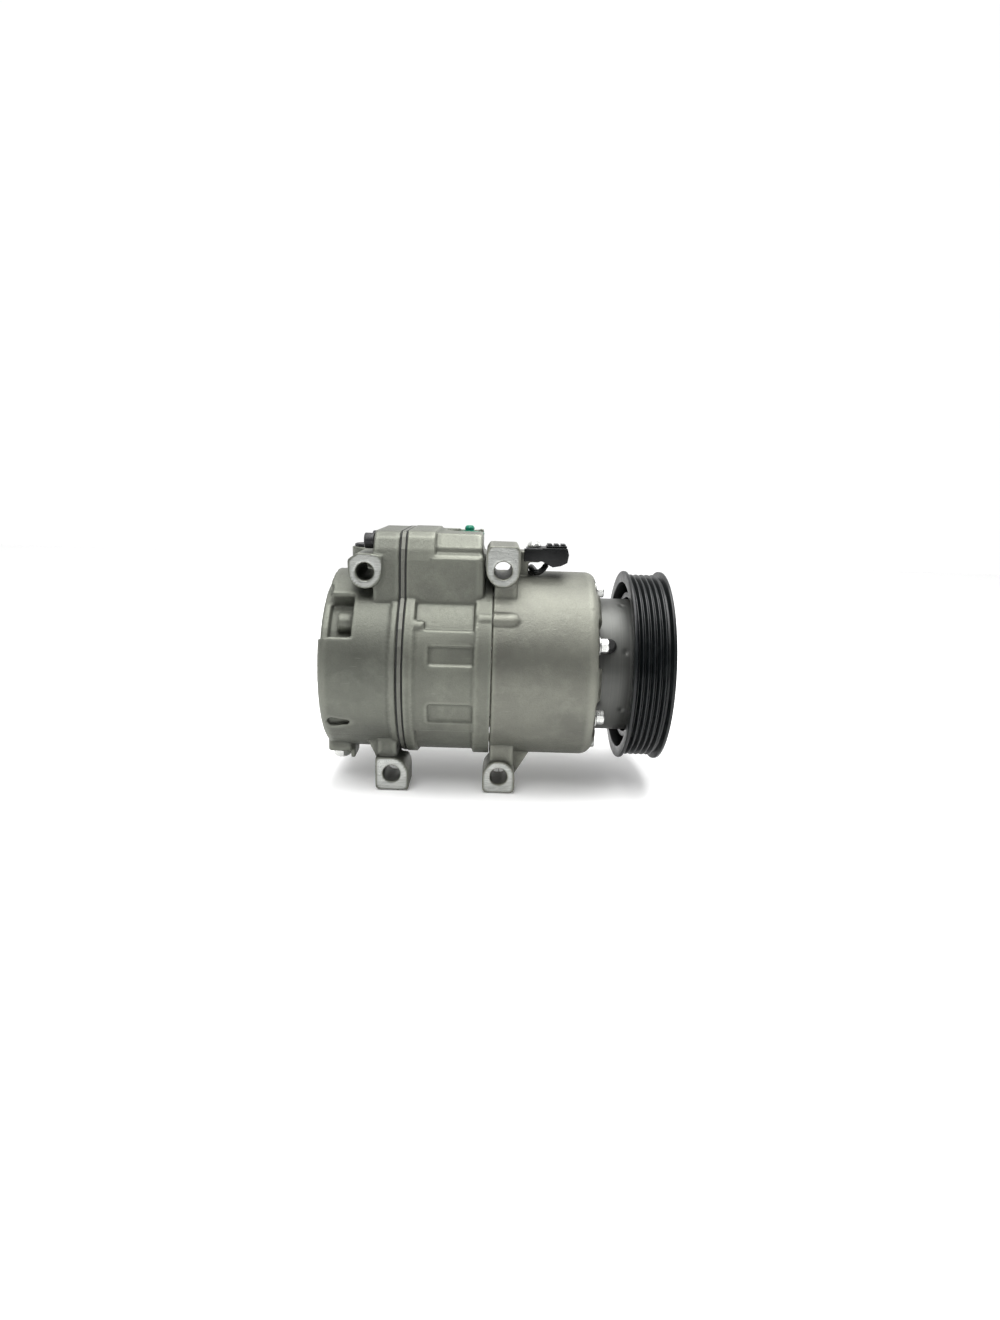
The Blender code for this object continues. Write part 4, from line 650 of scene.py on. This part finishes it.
def throughBolt(number):
    # shank, flange and hexagon head, on the bolt circle at its seventh of a turn
    s = boltSettings
    angle = math.radians(s["phase"]) + 2 * math.pi * (number - 1) / 7
    at = (-s["circle"] * math.cos(angle), s["circle"] * math.sin(angle))
    seat, tip = s["seat"], turnedBox("through_bolt_1")[0]
    corners = mm(
        (tip, 0), (tip, 2.9, 0.5), (seat, 2.9, 0.1), (seat, 5.8, 0.3), (seat + 0.6, 5.8, 0.4),
        (seat + 1.3, 4.9, 0.2), (seat + 1.45, 4.55, 0.1), (seat + 5.0, 4.6, 0.2), (seat + 5.75, 4.0, 0.3),
        (seat + 5.8, 2.6, 0.4), (seat + 5.4, 2.2, 0.2), (seat + 5.35, 0),
    )
    shape = hexShape(s["flats"], angle, lambda x: (x > (seat + 1.4) / 1000))
    stands = [f"through_bolt_{number}"]
    look = ("zinc", "body", "zinc_steel", stands)
    return turnedPiece(f"throughBolt{number}", corners, *look, sides=72, at=at, shape=shape, steps=3)


for number in range(1, 8):
    throughBolt(number)


screwSettings = {"head": 6.0, "recess": 0.00305, "key": 0.0025, "knurls": 40, "knurlDepth": 0.00006}


def flangeScrew(number):
    # socket head screw: the outside waves a little with the angle, the recess is held to a hexagon
    node = f"flange_screw_{number}"
    back, tip = endsOf(node, "X")
    seat = back + screwSettings["head"]

    def shape(a, x, r):
        s = screwSettings
        recess = (r < s["recess"]) & (x < (back + 3.4) / 1000)
        side = s["key"] / np.cos((a % (np.pi / 3)) - np.pi / 6)
        knurl = (r > 0.0046) & (x < (back + 5.4) / 1000)
        return np.where(recess, np.minimum(r, side), r + knurl * s["knurlDepth"] * np.cos(a * s["knurls"]))

    corners = mm(
        (tip, 0), (tip, 2.9, 0.4), (seat, 2.9, 0.1), (seat, 4.75, 0.3), (back + 0.5, 4.75, 0.6),
        (back, 4.2, 0.4), (back, 2.9, 0.2), (back + 3.1, 2.6, 0.1), (back + 3.3, 0),
    )
    look = ("oxide", "body", "black_steel", [node])
    centre = centreOf(node, "X")
    turnedPiece(f"flangeScrew{number}", corners, *look, sides=160, at=centre, shape=shape, steps=3)


for number in (1, 2):
    flangeScrew(number)

reliefSettings = {"flats": 0.0108, "turn": 0.3}


def reliefValve():
    # a pressed cap, a hexagon, a collar and the threaded end, from below
    low, high = endsOf("relief_valve", "Z")
    corners = mm(
        (low, 0), (low, 3.4, 0.6), (low + 0.8, 4.9, 0.4), (low + 1.7, 5.0, 0.2), (low + 1.8, 6.0, 0.1),
        (low + 5.0, 6.0, 0.2), (low + 5.1, 5.0, 0.1), (low + 5.3, 6.1, 0.2), (low + 6.1, 6.1, 0.2),
        (low + 6.2, 4.1, 0.1), (high, 4.1, 0.3), (high, 0),
    )

    def onHexagon(x):
        return (x > (low + 1.75) / 1000) & (x < (low + 5.05) / 1000)

    shape = hexShape(reliefSettings["flats"], reliefSettings["turn"], onHexagon)
    look = ("zinc", "body", "zinc_steel", ["relief_valve"])
    at = centreOf("relief_valve", "Z")
    turnedPiece("reliefValve", corners, *look, sides=96, axis="Z", at=at, shape=shape)


reliefValve()


# dust caps
def dustCap(name, node, finish, slot):
    # plug with a sealing bead, flat flange and a knob to pull it by
    low, high = endsOf(node, "Z")
    face = low + 6.0
    corners = mm(
        (low, 0), (low, 6.2, 0.5), (low + 1.0, 6.9, 0.3), (face - 2.2, 6.7, 0.3), (face - 1.6, 6.9, 0.2),
        (face, 6.8, 0.2), (face, 9.8, 0.4), (face + 1.3, 9.8, 0.6), (face + 1.8, 8.8, 0.3),
        (face + 1.5, 5.6, 0.5), (face + 1.7, 3.6, 0.8), (high - 3.3, 3.05, 0.5), (high - 1.6, 3.3, 1.4),
        (high, 2.2, 1.6), (high, 0),
    )
    at = centreOf(node, "Z")
    turnedPiece(name, corners, finish, "body", slot, [node], sides=96, axis="Z", at=at, steps=5)


dustCap("dischargeCap", "discharge_cap", "green", "cap_green")
dustCap("suctionCap", "suction_cap", "plastic", "black_plastic")
print("fasteners and caps done")


# clutch front
rear, front, rim = turnedBox("armature_plate")
armatureRows = mm(
    (rear, 24.0, 0.3), (rear, 38.0, 0.2), (rear + 0.6, 38.4, 0.2), (rear + 0.6, 39.6, 0.2), (rear, 40.0, 0.2),
    (rear, rim, 0.4), (front, rim, 0.7), (front, 24.0, 0.5),
)
armatureLook = ("friction", "armature", "friction_steel", ["armature_plate"])
turnedPiece("armaturePlate", armatureRows, *armatureLook, sides=160)

rear, _, rim = turnedBox("clutch_hub")
hubRows = mm(
    (rear, 6.3, 0.3), (rear, 10.0, 0.6), (-3.2, 10.0, 0.5), (-3.2, rim, 0.3), (-0.8, rim, 0.7),
    (-0.9, 14.0, 0.8), (-0.8, 10.5, 0.4), (-0.8, 7.8, 0.3), (-6.2, 7.8, 0.3), (-6.2, 3.0, 0.2),
    (-9.7, 3.0, 0.1), (-9.7, 6.3, 0.1),
)
hubSettings = {"lobes": 3, "waist": 0.0035, "turn": 98, "from": 0.0105, "over": 0.011}


def hubShape(a, x, r):
    # three shallow waists between the places where the springs are fixed:
    # a cosine of three times the angle, raised to 0..1 and cubed, grows with radius on the flange
    s = hubSettings
    flange = np.clip((r - s["from"]) / s["over"], 0, 1) * (x > -0.0035)
    wave = 0.5 + 0.5 * np.cos(s["lobes"] * (a - math.radians(s["turn"])))
    return r - flange * s["waist"] * wave**3


hubLook = ("enamel", "drive", "black_enamel", ["clutch_hub"])
turnedPiece("clutchHub", hubRows, *hubLook, sides=144, shape=hubShape)

rear, front, rim = turnedBox("hub_bolt")
boltRows = mm(
    (rear, 0), (rear, 2.7, 0.4), (-5.9, 2.7, 0.1), (-5.9, rim, 0.3), (-4.9, rim, 0.3), (-4.6, 5.75, 0.1),
    (front - 0.9, 5.8, 0.2), (front, 5.0, 0.3), (front, 0),
)
boltShape = hexShape(0.0100, 0.0, lambda x: x > -0.0047)
turnedPiece("hubBolt", boltRows, "zinc", "drive", "zinc_steel", ["hub_bolt"], sides=96, shape=boltShape)

springSettings = {"hubCircle": 0.0160, "rivetCircle": 0.0400, "lead": 58, "half": 0.0045, "waist": 0.16}


def leafSpring(number):
    # a strap with round ends: a constant half width between its two centres, less a squared sine in the
    # middle, and past each centre the height of a circle
    s = springSettings
    node = f"leaf_spring_{number}"
    rivet = math.radians(50 + 120 * (number - 1))
    stud = rivet - math.radians(s["lead"])
    start = np.array([-s["hubCircle"] * math.cos(stud), s["hubCircle"] * math.sin(stud)])
    end = np.array([-s["rivetCircle"] * math.cos(rivet), s["rivetCircle"] * math.sin(rivet)])
    length = np.linalg.norm(end - start)
    forward = (end - start) / length
    side = np.array([-forward[1], forward[0]])
    half = s["half"]
    turn = np.linspace(0, np.pi / 2, 8)
    middle = np.linspace(0, length, 25)
    t = np.concatenate([-half * np.cos(turn)[:-1], middle, length + half * np.sin(turn)[1:]])
    over = np.where(t < 0, -t, np.where(t > length, t - length, 0))
    slim = 1 - s["waist"] * np.sin(np.pi * np.clip(t / length, 0, 1)) ** 2
    width = np.sqrt(np.maximum(half**2 - over**2, 0)) * slim
    across = np.linspace(-1, 1, 9)
    flat = start + t[:, None, None] * forward + (width[:, None] * across)[..., None] * side
    rear, front = (v / 1000 for v in endsOf(node, "X"))
    layers = [np.concatenate([np.full(flat.shape[:2] + (1,), x), flat], -1) for x in (rear, front)]
    rows, columns = flat.shape[:2]
    points = np.concatenate([layer.reshape(-1, 3) for layer in layers])
    one = np.array(gridFaces(rows, columns, closeColumns=False))
    faces = one.tolist() + (one[:, ::-1] + rows * columns).tolist()
    for row, column in ((None, 0), (None, columns - 1), (0, None), (rows - 1, None)):
        line = np.arange(rows) * columns + column if row is None else row * columns + np.arange(columns)
        above = line + rows * columns
        faces += np.stack([line[:-1], line[1:], above[1:], above[:-1]], -1).tolist()
    return newPiece(f"leafSpring{number}", points, faces, "spring", "drive", [node])


def armatureRivet(number):
    # shank and domed head with a shallow dimple
    node = f"armature_rivet_{number}"
    low, high = endsOf(node, "X")
    corners = mm(
        (low, 0), (low, 2.2, 0.2), (high - 1.5, 2.2, 0.1), (high - 1.5, 4.2, 0.2), (high - 1.0, 4.2, 0.5),
        (high, 2.4, 0.8), (high - 0.1, 1.2, 0.3), (high - 0.4, 0),
    )
    look = ("zinc", "armature", "zinc_steel", [node])
    turnedPiece(f"armatureRivet{number}", corners, *look, sides=64, at=centreOf(node, "X"))


for number in (1, 2, 3):
    leafSpring(number)
    armatureRivet(number)
print("clutch done")


# pulley bearing, seen past the hub
rear, front, race = turnedBox("bearing_inner_race")
rim, wall = turnedBox("bearing_outer_race")[2], 3.2
innerRows = mm((rear, race - wall, 0.5), (rear, race, 0.3), (front, race, 0.3), (front, race - wall, 0.5))
outerRows = mm((rear, rim - wall, 0.3), (rear, rim, 0.5), (front, rim, 0.5), (front, rim - wall, 0.3))
innerLook = ("machined", "body", "machined_steel", ["bearing_inner_race"])
outerLook = ("machined", "pulley", "machined_steel", ["bearing_outer_race"])
turnedPiece("bearingInnerRace", innerRows, *innerLook, sides=96)
turnedPiece("bearingOuterRace", outerRows, *outerLook, sides=96)


# coil lead: a corrugated sleeve
leadSettings = {"radius": 0.0019, "ribs": 0.0011, "ribDepth": 0.00012, "sides": 20, "perSpan": 14}
# station, radius from the shaft and degrees round it, as in the CAD
leadRoute = np.array([
    (-0.0827, 0.0672, 80.0), (-0.0850, 0.0650, 77.5), (-0.0880, 0.0637, 76.0), (-0.0903, 0.0633, 77.5),
    (-0.0915, 0.0632, 82.0), (-0.0917, 0.0632, 88.0), (-0.0914, 0.0632, 95.0), (-0.0903, 0.0632, 103.0),
    (-0.0882, 0.0632, 111.0), (-0.0854, 0.0632, 118.5), (-0.0820, 0.0632, 126.0), (-0.0745, 0.0633, 135.0),
    (-0.0665, 0.0635, 143.0), (-0.0590, 0.0636, 149.5), (-0.0525, 0.0625, 152.6), (-0.0472, 0.0588, 153.0),
    (-0.0440, 0.0540, 153.0), (-0.0432, 0.0500, 153.0), (-0.0432, 0.0477, 153.0),
])


def smoothRoute(route, perSpan):
    # one smooth curve through the route's points, each span a cubic of its four nearest points
    angle = np.radians(route[:, 2])
    p = np.stack([route[:, 0], -route[:, 1] * np.cos(angle), route[:, 1] * np.sin(angle)], -1)
    p = np.concatenate([2 * p[:1] - p[1:2], p, 2 * p[-1:] - p[-2:-1]])
    t = (np.arange(perSpan) / perSpan)[None, :, None]
    a, b, c, d = (p[k : len(p) - 3 + k, None] for k in range(4))
    square, cube = (2 * a - 5 * b + 4 * c - d) * t**2, (3 * b - a - 3 * c + d) * t**3
    curve = 0.5 * (2 * b + (c - a) * t + square + cube)
    return np.concatenate([curve.reshape(-1, 3), p[-2:-1]])


def leadPiece():
    # a circle carried along the route, whose radius dips by a cosine of the length gone
    s = leadSettings
    path = smoothRoute(leadRoute, s["perSpan"])
    ahead = np.gradient(path, axis=0)
    ahead /= np.linalg.norm(ahead, axis=1, keepdims=True)
    outward = path * (0, 1, 1)
    outward /= np.linalg.norm(outward, axis=1, keepdims=True)
    side = np.cross(ahead, outward)
    side /= np.linalg.norm(side, axis=1, keepdims=True)
    up = np.cross(side, ahead)
    gone = np.concatenate([[0], np.cumsum(np.linalg.norm(np.diff(path, axis=0), axis=1))])
    radius = s["radius"] - s["ribDepth"] * (0.5 + 0.5 * np.cos(gone / s["ribs"] * np.pi))
    sides = s["sides"]
    angle = np.arange(sides)[None, :, None] * 2 * np.pi / sides
    around = np.cos(angle) * side[:, None] + np.sin(angle) * up[:, None]
    points = path[:, None] + radius[:, None, None] * around
    rows = len(path)
    points = np.concatenate([points.reshape(-1, 3), path[:1], path[-1:]])
    ring, after = np.arange(sides), (np.arange(sides) + 1) % sides
    lastRow = (rows - 1) * sides
    first = np.stack([np.full(sides, rows * sides), after, ring], -1)
    last = np.stack([np.full(sides, rows * sides + 1), ring + lastRow, after + lastRow], -1)
    faces = gridFaces(rows, sides) + first.tolist() + last.tolist()
    print("lead length mm", round(float(gone[-1]) * 1000, 1))
    return newPiece("coilLead", points, faces, "plastic", "body", ["coil_lead"], smooth=60)


leadPiece()


# connector: the CAD solids with moulded edges, and its pan head screw
def moulded(name, nodeName, finish, body, width):
    # flat neighbours are joined to one face, then every edge sharper than 25 degrees is cut back by a round
    source = nodes[nodeName].data.copy()
    bm = bmesh.new()
    bm.from_mesh(source)
    bmesh.ops.remove_doubles(bm, verts=bm.verts, dist=1e-6)
    bmesh.ops.dissolve_limit(bm, angle_limit=math.radians(2), verts=bm.verts, edges=bm.edges)
    bm.normal_update()
    sharp = [edge for edge in bm.edges if edge.is_manifold and edge.calc_face_angle() > math.radians(25)]
    bmesh.ops.bevel(
        bm, geom=sharp, offset=width, offset_type="OFFSET", segments=3, profile=0.5, affect="EDGES",
        clamp_overlap=True,
    )
    bmesh.ops.triangulate(bm, faces=bm.faces)
    bm.to_mesh(source)
    bm.free()
    source.materials.clear()
    source.materials.append(finishes[finish])
    source.shade_smooth()
    source.set_sharp_from_angle(angle=math.radians(40))
    source.name = name
    piece = bpy.data.objects.new(name, source)
    bpy.context.scene.collection.objects.link(piece)
    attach(piece, body)
    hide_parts(nodeName)
    return piece


moulded("connectorBody", "connector_body", "plastic", "body", 0.00035)
moulded("connectorLock", "connector_lock", "plastic", "body", 0.00022)
screwLow, screwHigh = endsOf("connector_screw", "Z")
seat = screwHigh - 3.2


def crossRecess(a, x, r):
    # the recess is a star of four arms: its radius swells where the angle is near an axis
    arms = 0.0006 + 0.0017 * np.abs(np.cos(2 * a)) ** 6
    inside = (x < (screwHigh - 0.3) / 1000) & (r < 0.0026) & (x > seat / 1000)
    return np.where(inside, np.minimum(r, arms), r)


screwRows = mm(
    (screwLow, 0), (screwLow, 2.1, 0.3), (seat, 2.1, 0.1), (seat, 4.4, 0.2), (seat + 1.0, 4.4, 0.4),
    (seat + 2.4, 3.8, 0.8), (screwHigh, 2.5, 0.2), (screwHigh - 0.4, 2.3, 0.1),
    (screwHigh - 1.6, 1.2, 0.1), (screwHigh - 1.7, 0),
)
screwLook = ("zinc", "body", "zinc_steel", ["connector_screw"])
screwAt = centreOf("connector_screw", "Z")
turnedPiece("connectorScrew", screwRows, *screwLook, sides=96, axis="Z", at=screwAt, shape=crossRecess)
print("connector done")


# carried-over CAD nodes
kept = {
    "plate": ["valve_plate"],
    "machined": ["shaft", "lug_plate", "swash_plate", "thrust_bearing", "discharge_retainer"],
    "piston": [f"piston_{n}" for n in range(1, 8)],
    "spring": [
        "destroke_spring", "discharge_reed", "coil_circlip", "bearing_circlip", "front_bearing",
        "rear_bearing",
    ],
    "gasket": ["head_gasket", "block_gasket"],
    "resin": ["coil_winding"],
    "rubber": ["shaft_seal", "housing_o_ring", "coil_grommet"],
    "brass": ["control_valve", "bearing_balls"],
}
for finishName, names in kept.items():
    for nodeName in names:
        held = nodes[nodeName]
        held.data.materials.clear()
        held.data.materials.append(finishes[finishName])
print("carried-over nodes finished")


# floor, light, camera
stageSettings = {
    "floorDrop": 0.0006,
    "floorSize": 3.0,
    "floorGlow": 0.12,
    "sky": 1.02,
    "dim": 0.13,
    "target": (-0.1165, 0.0, 0.0),
    "distance": 0.5207,
    "height": 13.0,
    "roll": 0.030,
    "lens": 21.04,
    "shift": 0.0072,
}


def makeStage():
    s = stageSettings
    lowest = cadBounds[0][2] - s["floorDrop"]
    half = s["floorSize"] / 2
    mesh = bpy.data.meshes.new("floor")
    corners = [(-half, -half, lowest), (half, -half, lowest), (half, half, lowest), (-half, half, lowest)]
    mesh.from_pydata(corners, [], [(0, 1, 2, 3)])
    floor = bpy.data.objects.new("floor", mesh)
    bpy.context.scene.collection.objects.link(floor)
    pale = Finish("paleFloor", (0.93, 0.93, 0.93), 0.8)
    mottle = pale.noise(6, 3)
    pale.set("Base Color", pale.mixed(mottle, (0.92, 0.92, 0.92, 1), (0.95, 0.95, 0.95, 1)))
    pale.set("Emission Color", (1, 1, 1, 1))
    pale.set("Emission Strength", s["floorGlow"])
    mesh.materials.append(pale.material)

    world = bpy.data.worlds.new("studio")
    world.use_nodes = True
    # dim in front of the object, white behind it and overhead: the larger of two ramps of the direction
    tree = world.node_tree
    tree.nodes["Background"].inputs[0].default_value = (1, 1, 1, 1)
    direction = tree.nodes.new("ShaderNodeTexCoord")
    split = tree.nodes.new("ShaderNodeSeparateXYZ")
    tree.links.new(direction.outputs["Generated"], split.inputs[0])
    ramps = []
    for output, low, high in ((1, -0.45, 0.25), (2, 0.55, 0.85)):
        ramp = tree.nodes.new("ShaderNodeMapRange")
        ramp.interpolation_type = "SMOOTHSTEP"
        tree.links.new(split.outputs[output], ramp.inputs["Value"])
        ramp.inputs["From Min"].default_value = low
        ramp.inputs["From Max"].default_value = high
        ramp.inputs["To Min"].default_value = s["dim"]
        ramp.inputs["To Max"].default_value = s["sky"]
        ramps.append(ramp)
    larger = tree.nodes.new("ShaderNodeMath")
    larger.operation = "MAXIMUM"
    tree.links.new(ramps[0].outputs[0], larger.inputs[0])
    tree.links.new(ramps[1].outputs[0], larger.inputs[1])
    tree.links.new(larger.outputs[0], tree.nodes["Background"].inputs[1])
    bpy.context.scene.world = world
    for name, place, size, power in (
        ("keyLight", (-0.40, -0.55, 1.00), 0.6, 7.0),
        ("topLight", (0.02, 0.02, 1.1), 0.8, 13.0),
        ("rimLight", (0.75, 0.30, 0.45), 0.5, 2.0),
    ):
        lamp = bpy.data.lights.new(name, "AREA")
        lamp.size = size
        lamp.energy = power
        light = bpy.data.objects.new(name, lamp)
        light.location = place
        light.rotation_euler = (Vector(s["target"]) - Vector(place)).to_track_quat("-Z", "Y").to_euler()
        bpy.context.scene.collection.objects.link(light)

    camera = bpy.data.cameras.new("camera")
    camera.sensor_width = 36
    camera.lens = s["lens"]
    camera.shift_x = s["shift"]
    camera.clip_start = 0.01
    eye = bpy.data.objects.new("camera", camera)
    bpy.context.scene.collection.objects.link(eye)
    height = math.radians(s["height"])
    target = Vector(s["target"])
    away = Vector((0, -math.cos(height), math.sin(height)))
    right = Vector((1, 0, 0))
    up = away.cross(right)
    turnedRight = right * math.cos(s["roll"]) + up * math.sin(s["roll"])
    turnedUp = up * math.cos(s["roll"]) - right * math.sin(s["roll"])
    place = target + away * s["distance"]
    eye.matrix_world = Matrix((
        (turnedRight.x, turnedUp.x, away.x, place.x),
        (turnedRight.y, turnedUp.y, away.y, place.y),
        (turnedRight.z, turnedUp.z, away.z, place.z),
        (0, 0, 0, 1),
    ))
    bpy.context.scene.camera = eye
    bpy.context.scene.view_settings.view_transform = "Standard"


makeStage()
print("stage set")
